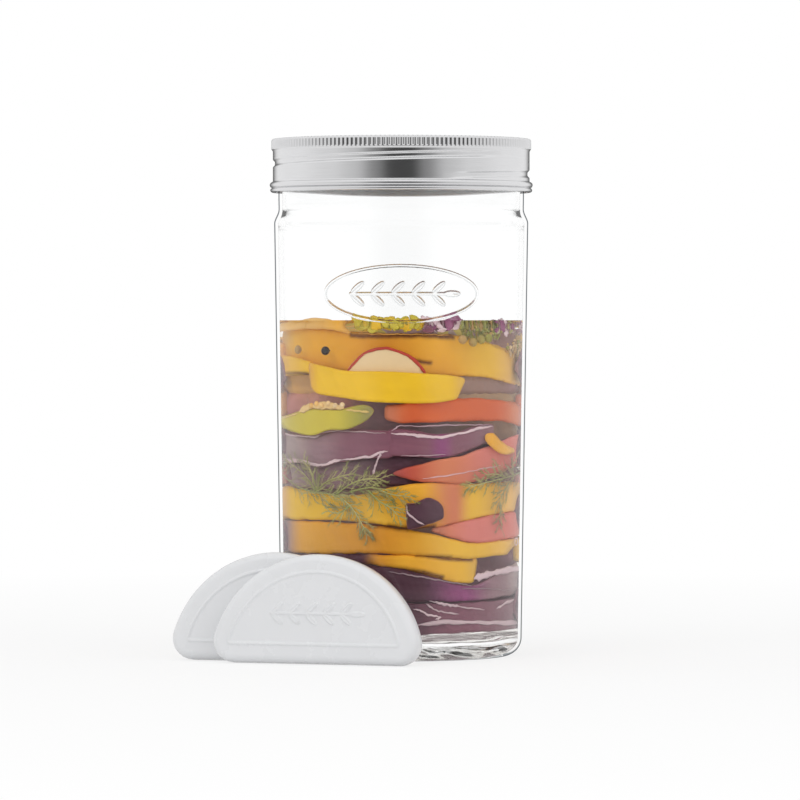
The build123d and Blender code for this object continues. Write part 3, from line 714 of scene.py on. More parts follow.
def uneven_material(name, tint, patches, roughness, relief, values, matt=None):
    """Material of one colour in soft patches, which also vary its roughness, with a fine relief.

    patches holds their size, layering and amount, roughness its places and levels, and relief its
    size, layering and height. matt names the vertex value that is 1 where the surface is matt.
    """
    material, tree, surface = new_tree(name)
    patchy = use_group(
        tree, "Mottling", {"Colour": opaque(tint), **dict(zip(("Size", "Layering", "Amount"), patches))}
    )
    rough = grey_ramp(tree, patchy["Patches"], roughness)
    if matt:
        rough = mix(tree, vertex_value(tree, matt), rough, grey(MATT_ROUGHNESS))
    shared = {"Base Color": patchy["Colour"], "Roughness": rough, "Normal": bumped(tree, *relief)}
    finish_surface(tree, surface, {**shared, **values})
    return material


def clear_material(name, bend, tint, side_tint, thin_tint, edge_start, edge_tint=None, marks=None, rim=None):
    """Glass or liquid that refracts the view and lets light through to what it holds.

    The named vertex value of painted shade gives where edge_tint is drawn on the slopes of a raised ornament.
    rim gives how edge on the surface must be to show as a plain clear line, and then as a line of painted
    shade in edge_tint.
    """
    material, tree, surface = new_tree(name)
    facing = add_node(tree, "LayerWeight", {"Blend": 0.5}).outputs["Facing"]
    # Colour greying to side_tint towards the outline; on the glass this is painted shade
    tinted = ramp(tree, facing, [(0.0, tint), (edge_start, tint), (0.985, side_tint)], smooth=False)
    if marks:
        tinted = mix(tree, vertex_value(tree, marks), tinted, edge_tint)
    values = {
        "Base Color": tinted,
        "Roughness": 0.0,
        "IOR": bend,
        "Transmission Weight": 1.0,
        "Specular Tint": opaque(grey(0.4)),
    }
    seen = add_node(tree, "BsdfPrincipled", values).outputs[0]
    light = add_node(tree, "LightPath").outputs
    # Painted shade: a dark outline in edge_tint where the surface is seen edge on, for the camera only
    if rim:
        clear, dark = rim
        outline = ramp(tree, facing, [(clear, WHITE), (dark, WHITE), (dark + 0.05, edge_tint)], smooth=False)
        plain = add_node(tree, "BsdfTransparent", {"Color": outline}).outputs[0]
        share = maths(tree, "MULTIPLY", rising(tree, facing, clear - 0.012, clear), light["Is Camera Ray"])
        seen = blended(tree, share, seen, plain)
    through = add_node(tree, "BsdfTransparent", {"Color": opaque(thin_tint)}).outputs[0]
    passes = maths(tree, "MAXIMUM", light["Is Shadow Ray"], light["Is Diffuse Ray"])
    passes = maths(tree, "MAXIMUM", passes, maths(tree, "GREATER_THAN", light["Ray Depth"], DEEPEST_RAY))
    tree.links.new(blended(tree, passes, seen, through), surface)
    return material


def flesh(name, stops, mottle=0.1, rim=None, cut="rib", size=120.0, layering=1.6, roughness=0.42):
    """Vegetable flesh with named colours along the piece, at its outline and on its cut edges.

    stops names the colours along the piece, each with its place from 0 to 1. Mottling varies the
    colours, painted shadow lines darken them, and the brine veils them and lends them a painted glow.
    """
    greens = settings("vegetables")
    material, tree, surface = new_tree(name)
    stops = [stop.split() for stop in stops.split(", ")]
    base = [(float(place), getattr(greens, tint)) for tint, place in stops]
    tinted = ramp(tree, vertex_value(tree, "along"), base)
    # Outline, painted shadow lines in their dark colour, and cut edges, each mixed over the colours
    for label, tint in (("rim", rim), ("seam", "seam"), ("cut", cut)):
        if tint:
            tinted = mix(tree, vertex_value(tree, label), tinted, getattr(greens, tint))
    values = {"Colour": tinted, "Size": size, "Layering": layering, "Amount": mottle}
    veiled = use_group(tree, "Brine veil", {"Colour": use_group(tree, "Mottling", values)["Colour"]})
    values = {
        "Base Color": veiled["Colour"],
        # Painted glow from the brine veil, which lifts the shade on what lies deep in the brine
        "Emission Color": veiled["Scatter"],
        "Emission Strength": 0.35,
        "Roughness": roughness,
        "Specular IOR Level": 0.25,
        "Normal": bumped(tree, 500.0, layering, 0.00004),
    }
    finish_surface(tree, surface, values)
    return material


def ellipse_distance(across, up, half_width, half_height):
    """Distance from an ellipse, negative inside it, nearly exact close to its line."""
    reach = np.sqrt((across / half_width) ** 2 + (up / half_height) ** 2) + 1e-9
    slope = np.sqrt((across / half_width**2) ** 2 + (up / half_height**2) ** 2) / reach + 1e-9
    return (reach - 1) / slope


def raised_line(distance, width):
    """Height share of a rounded line at a distance from its middle."""
    return 1 - smoothstep(0.25 * width, 0.75 * width, np.abs(distance))


def leaf_relief(across, up, scale):
    """Height share of a level spray of leaves round the origin."""
    ornament = settings("ornament")
    leaf = ornament.leaf_length * scale / 2
    half_width = ornament.leaf_width * scale / 2
    reach = ornament.stem_length * scale
    off_stem = np.maximum(np.abs(across) - reach / 2, 0)
    relief = raised_line(np.hypot(up, off_stem), ornament.stem_width * 1.2)
    leaves = [(reach / 2, 0.0, 0.0)]
    for index in range(ornament.leaf_pairs):
        along = reach * index / ornament.leaf_pairs - reach / 2
        for tilt in (ornament.leaf_tilt, -ornament.leaf_tilt):
            leaves.append((along + leaf * cos(tilt), leaf * sin(tilt), tilt))
    for middle, rise, tilt in leaves:
        lengthwise = (across - middle) * cos(tilt) + (up - rise) * sin(tilt)
        sideways = (up - rise) * cos(tilt) - (across - middle) * sin(tilt)
        distance = ellipse_distance(lengthwise, sideways, leaf, half_width)
        vein = 0.35 * np.exp(-((sideways / (0.18 * half_width)) ** 2))
        relief = np.maximum(relief, smoothstep(0, -0.45 * half_width, distance) * (1 - vein))
    return relief


def glass_relief(turn, height):
    """Height share of the oval and its leaf spray on the front of the glass."""
    ornament = settings("ornament")
    across = body_radius(height) * np.sin(turn - FRONT)
    in_front = np.cos(turn - FRONT) > 0
    up = height - ornament.oval_middle
    half_width = (ornament.oval_width - ornament.line_width) / 2
    half_height = (ornament.oval_height - ornament.line_width) / 2
    oval = ellipse_distance(across, up, half_width, half_height)
    relief = np.maximum(raised_line(oval, ornament.line_width), leaf_relief(across, up, 1.0))
    return relief * in_front


def helix_ridge(turn, height, bottom, start, turns, pitch, width, crest_share, fade):
    """Share of a helical ridge's height over a grid of angles and heights."""
    ridge = np.zeros_like(turn)
    for lap in range(-2, 4):
        wound = turn + FULL_TURN * lap - start
        inside = smoothstep(0, fade, wound) * smoothstep(0, fade, turns * FULL_TURN - wound)
        away = np.abs(height - bottom - pitch * wound / FULL_TURN)
        shape = 1 - smoothstep(width * crest_share / 2, width / 2, away)
        ridge = np.maximum(ridge, inside * shape)
    return ridge


def floor_waves(turn, radius, height):
    """Rise of the uneven glass of the floor inside the jar, in long waves round it."""
    jar = settings("jar")
    waves = ripple(31, 2.5 * np.cos(turn), 2.5 * np.sin(turn), radius / 0.0035)
    low = smoothstep(jar.base + jar.inner_corner, jar.base + 0.001, height)
    return 0.0005 * waves * low * smoothstep(0.004, 0.02, radius)


def glass_profile():
    """Half section of the jar from under its base, up outside, over the rim and down to the floor inside."""
    jar, ornament = settings("jar"), settings("ornament")
    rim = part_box("glass_jar")[1].z
    heel = jar.foot_radius - jar.heel_radius
    edge = jar.punt_radius - jar.punt_height
    soft, foot, ring_swell = 0.001, 0.0008, 0.1
    profile = [(r, jar.punt_height) for r in graded(POLE, edge - soft, 0.003)]
    profile += arc((edge - soft, jar.punt_height - soft), soft, 90, 45, 5)
    profile += arc((jar.punt_radius + foot, foot), foot, 225, 270, 5)
    profile += level_line(0.0, jar.punt_radius + foot + soft, heel - foot / 2, 4)
    profile += arc((heel, jar.heel_radius), jar.heel_radius, -90, 0, 22)
    oval_half = ornament.oval_height / 2 + ornament.line_width
    detailed = (ornament.oval_middle - oval_half, ornament.oval_middle + oval_half, 0.00024)
    heights = graded(jar.heel_radius + 0.0005, jar.shoulder_height - 0.0006, 0.004, [detailed])
    profile += [(body_radius(height), height) for height in heights]
    for height in np.linspace(jar.shoulder_height, jar.ring_bottom - 0.0006, 18):
        share = smoothstep(0, 1, (height - jar.shoulder_height) / (jar.shoulder_rise * 1.6))
        profile.append((body_radius(jar.shoulder_height) * (1 - share) + jar.neck_radius * share, height))
    neck_top = rim - jar.rim_rounding
    for height in graded(jar.ring_bottom - 0.0003, neck_top, 0.00036):
        share = (height - jar.ring_bottom) / jar.ring_height
        swell = ring_swell * exp(-(((share - 0.7) / 0.75) ** 2))
        profile.append((jar.neck_radius + (jar.ring_radius - jar.neck_radius) * swell, height))
    profile += arc((jar.neck_radius - jar.rim_rounding, neck_top), jar.rim_rounding, 10, 90, 7)
    profile += arc((jar.mouth_radius + jar.rim_rounding, neck_top), jar.rim_rounding, 90, 180, 8)
    profile += upright_line(jar.mouth_radius, neck_top - 0.001, rim - jar.mouth_depth, 12)
    slope_foot = jar.shoulder_height - jar.shoulder_rise
    for height in np.linspace(rim - jar.mouth_depth, slope_foot, 18)[1:]:
        share = smoothstep(0, 1, (height - slope_foot) / (rim - jar.mouth_depth - slope_foot))
        profile.append((wall_radius(height) * (1 - share) + jar.mouth_radius * share, height))
    corner = jar.base + jar.inner_corner
    profile += [(wall_radius(h), h) for h in np.linspace(slope_foot - 0.002, corner + 0.001, 40)]
    inner = (wall_radius(corner) - jar.inner_corner, corner)
    profile += arc(inner, jar.inner_corner, 0, -90, 14)
    profile += level_line(jar.base, inner[0] - POLE, POLE, 14)
    return profile


class JAR_OT_glass(Operator):
    """Blow the glass jar, with its thread and the leaf oval on its front"""

    bl_idname = "jar.glass"
    bl_label = "Glass jar"

    def execute(self, context):
        jar, ornament = settings("jar"), settings("ornament")
        front_reach = asin(ornament.oval_width / 2 / jar.foot_radius) + 0.03
        fine = (FRONT - front_reach, FRONT + front_reach, 0.0052)
        angles = graded(FRONT - pi, FRONT + pi, 0.026, [fine], growth=0.02)[:-1]
        profile = np.array(glass_profile())
        outside = np.arange(len(profile)) <= int(np.argmax(profile[:, 1]))
        marks = {}

        def change(turn, radius, height):
            relief = glass_relief(turn, height) * outside[:, None]
            ridge = helix_ridge(
                turn, height, jar.thread_bottom, jar.thread_start, jar.thread_turns,
                jar.thread_pitch, jar.thread_width, crest_share=0.45, fade=0.25,
            )
            ridge = ridge * outside[:, None] * (height > jar.ring_bottom)
            # Painted shade on the slopes of the raised ornament, drawn in the edge colour
            marks["line"] = 4 * relief * (1 - relief)
            waves = floor_waves(turn, radius, height) * ~outside[:, None]
            return relief * ornament.glass_relief + ridge * jar.thread_height, waves

        shape = turned(profile, angles, change)
        line = 0.8 * np.append(marks["line"].ravel(), [0, 0])
        material = clear_material(
            "Clear glass", GLASS_BEND, jar.glass_colour, jar.side_colour, WHITE, edge_start=0.8,
            edge_tint=jar.edge_colour, marks="line", rim=(0.755, 0.85),
        )
        finish_piece("glass_jar_blown", shape, "jar", material, ["glass_jar"], {"line": line})
        return {"FINISHED"}


class JAR_OT_brine(Operator):
    """Fill the jar with brine up to its level"""

    bl_idname = "jar.brine"
    bl_label = "Brine"

    def execute(self, context):
        jar = settings("jar")
        overlap = 0.0001
        corner = jar.base + jar.inner_corner
        inner = (wall_radius(corner) - jar.inner_corner, corner)
        profile = level_line(jar.base - overlap, POLE, inner[0] - POLE / 2, 14)
        profile += arc(inner, jar.inner_corner + overlap, -90, 0, 14)
        climb = jar.brine_level + jar.meniscus
        profile += [(wall_radius(h) + overlap, h) for h in np.linspace(corner + 0.002, climb, 40)]
        for inset in graded(0.0002, 0.006, 0.0005):
            rise = jar.meniscus * exp(-inset / 0.0012)
            profile.append((wall_radius(jar.brine_level) - inset, jar.brine_level + rise))
        profile += level_line(jar.brine_level, wall_radius(climb) - 0.008, POLE, 12)
        angles = np.linspace(0, FULL_TURN, ROUND_STEPS, endpoint=False)

        def change(turn, radius, height):
            top = (height > jar.brine_level - 1e-6) & (radius < wall_radius(jar.brine_level) - 0.001)
            across, deep = radius * np.cos(turn), radius * np.sin(turn)
            waves = top * 0.00012 * ripple(4, across / 0.012, deep / 0.012)
            return 0 * height, waves + floor_waves(turn, radius, height)

        shape = turned(profile, angles, change)
        side, thin = (0.88, 0.84, 0.78), (1.0, 0.995, 0.985)
        material = clear_material("Cloudy brine", BRINE_BEND, jar.brine_colour, side, thin, edge_start=0.86)
        finish_piece("brine_poured", shape, "jar", material, ["brine"])
        return {"FINISHED"}


class JAR_OT_band(Operator):
    """Roll the steel screw band, with its knurls, thread and bead"""

    bl_idname = "jar.band"
    bl_label = "Screw band"

    def execute(self, context):
        band = settings("band")
        low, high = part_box("screw_band")
        bottom, top = low.z, high.z
        inner = band.radius - band.sheet
        skirt_bottom = top - band.skirt_height
        bead_top = bottom + band.bead_height
        waist_share, lip_reach, bead_reach, hem, dish, soft = 0.42, 0.0009, 0.0012, 0.0002, 0.0003, 0.0005
        waist = bottom + band.bead_height * waist_share
        lip = (band.bead_radius - lip_reach - hem, (bottom + waist) / 2)
        bead_middle = (band.bead_radius - bead_reach, (waist + bead_top) / 2)
        profile = [(inner, bottom + dish), (inner + hem, bottom)]
        profile += arc(lip, lip_reach, -80, 78, 12, rise=(waist - bottom) / 2)
        profile += arc(bead_middle, bead_reach, -78, 84, 14, rise=(bead_top - waist) / 2)
        heights = graded(bead_top + dish, skirt_bottom - 2 * dish, 0.00032)
        profile += [(band.radius, height) for height in heights]
        profile += [(band.radius + hem / 2, skirt_bottom - dish)]
        skirt_radius = band.skirt_radius
        profile += arc((skirt_radius - soft, skirt_bottom + soft), soft, -60, 0, 5)
        profile += upright_line(skirt_radius, skirt_bottom + soft + dish, top - band.corner, 8)
        profile += arc((skirt_radius - band.corner, top - band.corner), band.corner, 8, 90, 10)
        profile += level_line(top, skirt_radius - band.corner - 2 * dish, inner - soft, 4)
        profile += level_line(top - dish, inner - 4 * dish, band.hole_radius + 2 * dish, 10)
        profile += arc((band.hole_radius + hem, top - dish - hem), hem, 90, 270, 7)
        under = top - band.sheet - dish
        profile += level_line(under, band.hole_radius + 0.0012, inner - 0.0008, 8)
        profile += upright_line(inner, under - soft, bottom + soft + dish, 42)
        angles = np.linspace(0, FULL_TURN, band.knurl_count * 6, endpoint=False)

        def change(turn, radius, height):
            knurl = smoothstep(skirt_bottom, skirt_bottom + soft + dish, height)
            knurl = knurl * (radius > skirt_radius - 0.9 * band.corner)
            flute = 0.5 - 0.5 * np.cos(turn * band.knurl_count)
            groove = helix_ridge(
                turn, height, bottom + band.groove_bottom, band.groove_start, band.groove_turns,
                settings("jar").thread_pitch, band.groove_width, crest_share=0.3, fade=0.3,
            )
            groove = groove * (height > bead_top) * (height < skirt_bottom)
            rim_wave = 0.00003 * ripple(8, turn * 5)
            return -knurl * flute**1.5 * band.knurl_depth - groove * band.groove_depth + rim_wave, 0 * height

        shape = turned(profile, angles, change, closed=True)
        inside = [radius < inner + 0.0001 and height < top - 0.0004 for radius, height in profile]
        steel = uneven_material(
            "Bright steel", band.steel_colour, (60.0, 60.0, 0.05), ((0.3, 0.15), (0.7, 0.2)),
            (60.0, 50.0, 0.000003), {"Metallic": 1.0}, matt="inside",
        )
        finish_piece(
            "screw_band_rolled", shape, "screw_band", steel, ["screw_band"],
            {"inside": np.repeat(inside, len(angles))},
        )
        return {"FINISHED"}


class JAR_OT_lid(Operator):
    """Mould the airlock lid, with its flat-lipped valve"""

    bl_idname = "jar.lid"
    bl_label = "Airlock lid"

    def execute(self, context):
        lid, jar = settings("lid"), settings("jar")
        low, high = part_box("airlock_lid")
        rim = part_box("glass_jar")[1].z
        flange_top = rim + lid.flange
        play, nose, edge, fillet, soft, bloom = 0.0003, 0.0007, 0.0006, 0.0012, 0.0005, 0.00012
        plug = jar.mouth_radius - play
        web_top = low.z + lid.web
        well = plug - lid.skirt
        collar_top = web_top + lid.collar_height
        bore = lid.valve_radius - 0.001
        outer = level_line(low.z, bore + edge, plug - nose - play, 18)
        outer += arc((plug - nose, low.z + nose), nose, -80, 0, 6)
        for height in np.linspace(low.z + fillet, rim - 0.0004, 22):
            rib = bloom * max(0.0, sin((height - low.z) / (rim - low.z) * FULL_TURN * 3))
            outer.append((plug - 0.0001 + rib, height))
        outer += level_line(rim, plug + 0.0004, high.x - 0.0008, 8)
        outer += arc((high.x - edge, rim + edge), edge, -80, 0, 6)
        outer += arc((high.x - edge, flange_top - edge), edge, 0, 90, 6)
        outer += level_line(flange_top, high.x - 2 * edge, well + edge + play, 10)
        outer += arc((well + edge, flange_top - edge), edge, 90, 180, 6)
        outer += upright_line(well, flange_top - 2 * edge, web_top + 0.0016, 10)
        outer += arc((well - fillet, web_top + fillet), fillet, 0, -90, 8)
        ring_out = lid.ring_radius + lid.ring_width
        for radius in graded(ring_out + edge, well - fillet - edge, 0.0008)[::-1]:
            outer.append((radius, web_top + bloom * sin(radius / 0.0022 * pi) ** 2))
        ring_half = lid.ring_width / 2
        outer += arc((lid.ring_radius + ring_half, web_top), ring_half, 0, 180, 12, rise=lid.ring_height)
        dish = graded(lid.collar_radius + 0.0008, lid.ring_radius - 0.001, 0.001)[::-1]
        outer += [(radius, web_top) for radius in dish]
        outer += arc((lid.collar_radius - soft, collar_top - soft), soft, 0, 90, 6)
        outer += level_line(collar_top, lid.collar_radius - 2 * soft, lid.valve_radius + edge, 5)
        angles = np.linspace(0, FULL_TURN, ROUND_STEPS, endpoint=False)
        valve = self.valve(angles, lid, collar_top, bore, low.z)
        grid = np.concatenate([around(*half_section(outer, angles)), valve])
        shape = grid.reshape(-1, 3), grid_faces(len(grid), len(angles), wrap_rows=True)
        silicone = uneven_material(
            "Silicone", lid.silicone_colour, (90.0, 1.0, 0.05), ((0.3, 0.42), (0.7, 0.58)),
            (1800.0, 1.0, 0.00003), {"Subsurface Weight": 0.15, "Subsurface Scale": 0.002},
        )
        finish_piece("airlock_lid_moulded", shape, "airlock_lid", silicone, ["airlock_lid"])
        return {"FINISHED"}

    def valve(self, angles, lid, collar_top, bore, lid_bottom):
        """Rings up outside the duck-bill valve, over its lips and down its bore."""
        tip = collar_top + lid.valve_height
        gap = 0.0002
        rings = []
        for share in np.linspace(0, 1, 20):
            half_length = lid.valve_radius + (lid.lip_length / 2 - lid.valve_radius) * share**1.3
            closing = smoothstep(0, 1, share) ** 0.8
            half_width = lid.valve_radius + (lid.lip_width / 2 - lid.valve_radius) * closing
            rings.append((half_length, half_width, collar_top + gap + (tip - collar_top - 2 * gap) * share))
        rings.append((lid.lip_length / 2 - 0.0003, lid.lip_width / 2 - 0.0003, tip))
        rings.append((lid.slit_length / 2 + gap, 0.0005, tip))
        rings.append((lid.slit_length / 2, gap, tip - gap))
        for share in np.linspace(0.94, 0, 12):
            half_length = bore + (lid.slit_length / 2 - bore) * share
            half_width = bore + (gap - bore) * share
            rings.append((half_length, half_width, collar_top + (tip - collar_top) * share))
        heights = np.linspace(collar_top - 2 * gap, lid_bottom + 2 * gap, 6)
        rings += [(bore, bore, height) for height in heights]
        across, deep = np.cos(angles), np.sin(angles)
        return np.array([np.stack([a * across, b * deep, h + 0 * angles], axis=-1) for a, b, h in rings])


def half_moon(weights, steps):
    """Points round a weight's outline, with the middle of its straight edge at the origin."""
    big, small = weights.arc_radius, weights.corner
    centre = weights.height - big
    reach = sqrt((big - small) ** 2 - (small - centre) ** 2)
    lean = atan2(small - centre, reach)
    pieces = []
    corner = np.linspace(-pi / 2, lean, steps // 8)
    pieces.append(np.stack([reach + small * np.cos(corner), small + small * np.sin(corner)], axis=1))
    sweep = np.linspace(lean, pi - lean, steps // 2)[1:-1]
    pieces.append(np.stack([big * np.cos(sweep), centre + big * np.sin(sweep)], axis=1))
    pieces.append(pieces[0][::-1] * (-1, 1))
    foot = np.linspace(-reach, reach, steps // 4)[1:-1]
    pieces.append(np.stack([foot, 0 * foot], axis=1))
    return np.vstack(pieces)


class JAR_OT_weights(Operator):
    """Cast the two glazed half-moon weights, with a leaf spray in a raised line"""

    bl_idname = "jar.weights"
    bl_label = "Weights"

    def execute(self, context):
        weights = settings("weights")
        glaze = uneven_material(
            "Glazed ceramic", weights.glaze_colour, (45.0, 1.0, 0.015), ((0.35, 0.22), (0.7, 0.34)),
            (160.0, 1.0, 0.00004), {"Specular IOR Level": 0.4, "Coat Weight": 0.25, "Coat Roughness": 0.12},
        )
        vertices, faces = self.cast(weights)
        for node in ("weight_rear", "weight_front"):
            low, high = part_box(node)
            shift = (np.array(low) + np.array(high)) / 2 - (vertices.max(0) + vertices.min(0)) / 2
            finish_piece(f"{node}_cast", (vertices + shift, faces), node, glaze, [node])
        return {"FINISHED"}

    def cast(self, weights):
        """Vertices and faces of a weight that leans at its turn."""
        outline = half_moon(weights, 420)
        heart = np.array([0, weights.height * 0.46])
        shares = np.concatenate([np.linspace(0.02, 0.86, 90), 1 - 0.14 * np.cos(np.linspace(0.1, 1.57, 26))])
        face = heart + shares[:, None, None] * (outline - heart)
        from_edge = np.full(face.shape[:2], np.inf)
        for point in outline:
            from_edge = np.minimum(from_edge, np.hypot(face[..., 0] - point[0], face[..., 1] - point[1]))
        from_edge[-1] = 0
        inset = np.minimum(from_edge, weights.edge)
        swell = np.sqrt(np.maximum(weights.edge**2 - (weights.edge - inset) ** 2, 0))
        half = weights.thickness / 2 - weights.edge + swell
        line_width = settings("ornament").line_width
        line = raised_line(from_edge - weights.line_inset - line_width / 2, line_width * 1.2)
        spray = leaf_relief(face[..., 0], face[..., 1] - weights.height * 0.45, 0.9)
        relief = weights.relief * np.maximum(line, spray)
        wave = 0.00006 * ripple(6, face[..., 0] / 0.01, face[..., 1] / 0.01)
        fore = np.dstack([face, half + relief + wave])
        aft = np.dstack([face, -half + wave])[::-1]
        tip = [[*heart, weights.thickness / 2 + relief[0].mean()], [*heart, -weights.thickness / 2]]
        grid = np.concatenate([fore, aft])
        flat = np.vstack([grid.reshape(-1, 3), tip])
        faces = grid_faces(*grid.shape[:2]) + cap_faces(*grid.shape[:2])
        return self.stand(flat, weights), [tuple(reversed(corners)) for corners in faces]

    def stand(self, flat, weights):
        """Vertices stood upright, leant back and turned about the axis."""
        across, up, out = flat.T
        sine, cosine = sin(weights.lean), cos(weights.lean)
        forward = out * cosine - up * sine
        rise = up * cosine + out * sine
        turn = weights.turn
        side = across * cos(turn) + forward * sin(turn)
        depth = across * sin(turn) - forward * cos(turn)
        return np.stack([side, depth, rise], axis=1)


def pulled(items, name, width, kind=np.float32):
    """Numbers of a mesh's items, one row for each."""
    numbers = np.empty(len(items) * width, kind)
    items.foreach_get(name, numbers)
    return numbers.reshape(-1, width)


def remeshed(node, voxel, relax):
    """Vertices, normals, edges and faces of a node's solid, remeshed evenly and with its edges relaxed."""
    copy = add_object("remeshing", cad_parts[node].data.copy())
    remesh = copy.modifiers.new("even", "REMESH")
    remesh.mode = "VOXEL"
    remesh.voxel_size = voxel
    soften = copy.modifiers.new("soft", "SMOOTH")
    soften.factor = 0.5
    soften.iterations = relax
    made = bpy.data.meshes.new_from_object(copy.evaluated_get(bpy.context.evaluated_depsgraph_get()))
    places = pulled(made.vertices, "co", 3).astype(float)
    normals = pulled(made.vertex_normals, "vector", 3).astype(float)
    edges = pulled(made.edges, "vertices", 2, np.int32)
    faces = [tuple(face.vertices) for face in made.polygons]
    old = copy.data
    bpy.data.objects.remove(copy)
    bpy.data.meshes.remove(old)
    bpy.data.meshes.remove(made)
    return places, normals, edges, faces


def blurred(edges, values, rounds):
    """Values averaged over neighbouring vertices."""
    first, second = edges.T
    count = np.bincount(first, minlength=len(values)) + np.bincount(second, minlength=len(values)) + 1
    for _ in range(rounds):
        total = values.copy()
        total += np.bincount(first, weights=values[second], minlength=len(values))
        total += np.bincount(second, weights=values[first], minlength=len(values))
        values = total / count
    return values


def wall_line(shares, spacing, depth):
    """Angles and heights along a smooth line seen square on, from degrees and shares of the level."""
    level = settings("jar").packing_level
    points = [(radians(angle), share * level) for angle, share in shares]
    angle, height = smooth_line(points, spacing * len(points)).T
    return behind_wall(angle, height, depth), height


def behind_wall(angle, height, depth):
    """Angle at a depth behind the wall of what is seen square on at an angle on the wall."""
    radius = wall_radius(height)
    return np.arcsin(np.clip(np.sin(angle) * radius / (radius - depth), -0.9995, 0.9995))


def near_line(angle, height, shares, width, depth):
    """Share of closeness to a line on a piece, 1 on it and fading over its width."""
    distance = np.full(len(angle), np.inf)
    for line_angle, line_height in zip(*wall_line(shares, 16, depth)):
        away = np.hypot((angle - line_angle) * wall_radius(line_height), height - line_height)
        distance = np.minimum(distance, away)
    return np.exp(-((distance / width) ** 2))


def ribbon(shares, width, turn, surface, seed):
    """Closed strip that follows a line over a piece's outer surface, as the pale cut edge of a leaf."""
    angle, height, depth = surface
    line_angle, line_height = wall_line(shares, 14, depth.min())
    found = np.full(len(line_angle), np.nan)
    for index, (here, up) in enumerate(zip(line_angle, line_height)):
        near = np.hypot((angle - here) * wall_radius(up), height - up) < 0.0016
        if near.any():
            found[index] = depth[near].min()
    known = ~np.isnan(found)
    if not known.any():
        raise RuntimeError("a cut edge lies away from its piece")
    spots = np.arange(len(found))
    found = np.interp(spots, spots[known], found[known])
    found = np.convolve(np.pad(found, 3, mode="edge"), np.ones(7) / 7, "valid")
    progress = np.linspace(0, 1, len(found))
    taper = smoothstep(0, 0.12, progress) * smoothstep(0, 0.12, 1 - progress)
    spread = width / 2 * (0.75 + 0.35 * ripple(seed, progress * 9) + 0.12 * ripple(seed + 1, progress * 31))
    spread = spread * (0.25 + 0.75 * taper)
    line_height = line_height + 0.00025 * ripple(seed + 3, progress * 24)
    points = wall_place(line_angle + turn, line_height, np.maximum(found - 0.00015, 0.0003))
    return tube(points, np.maximum(spread, 0.00012), sides=6, flat=min(0.5, 0.0005 / width))


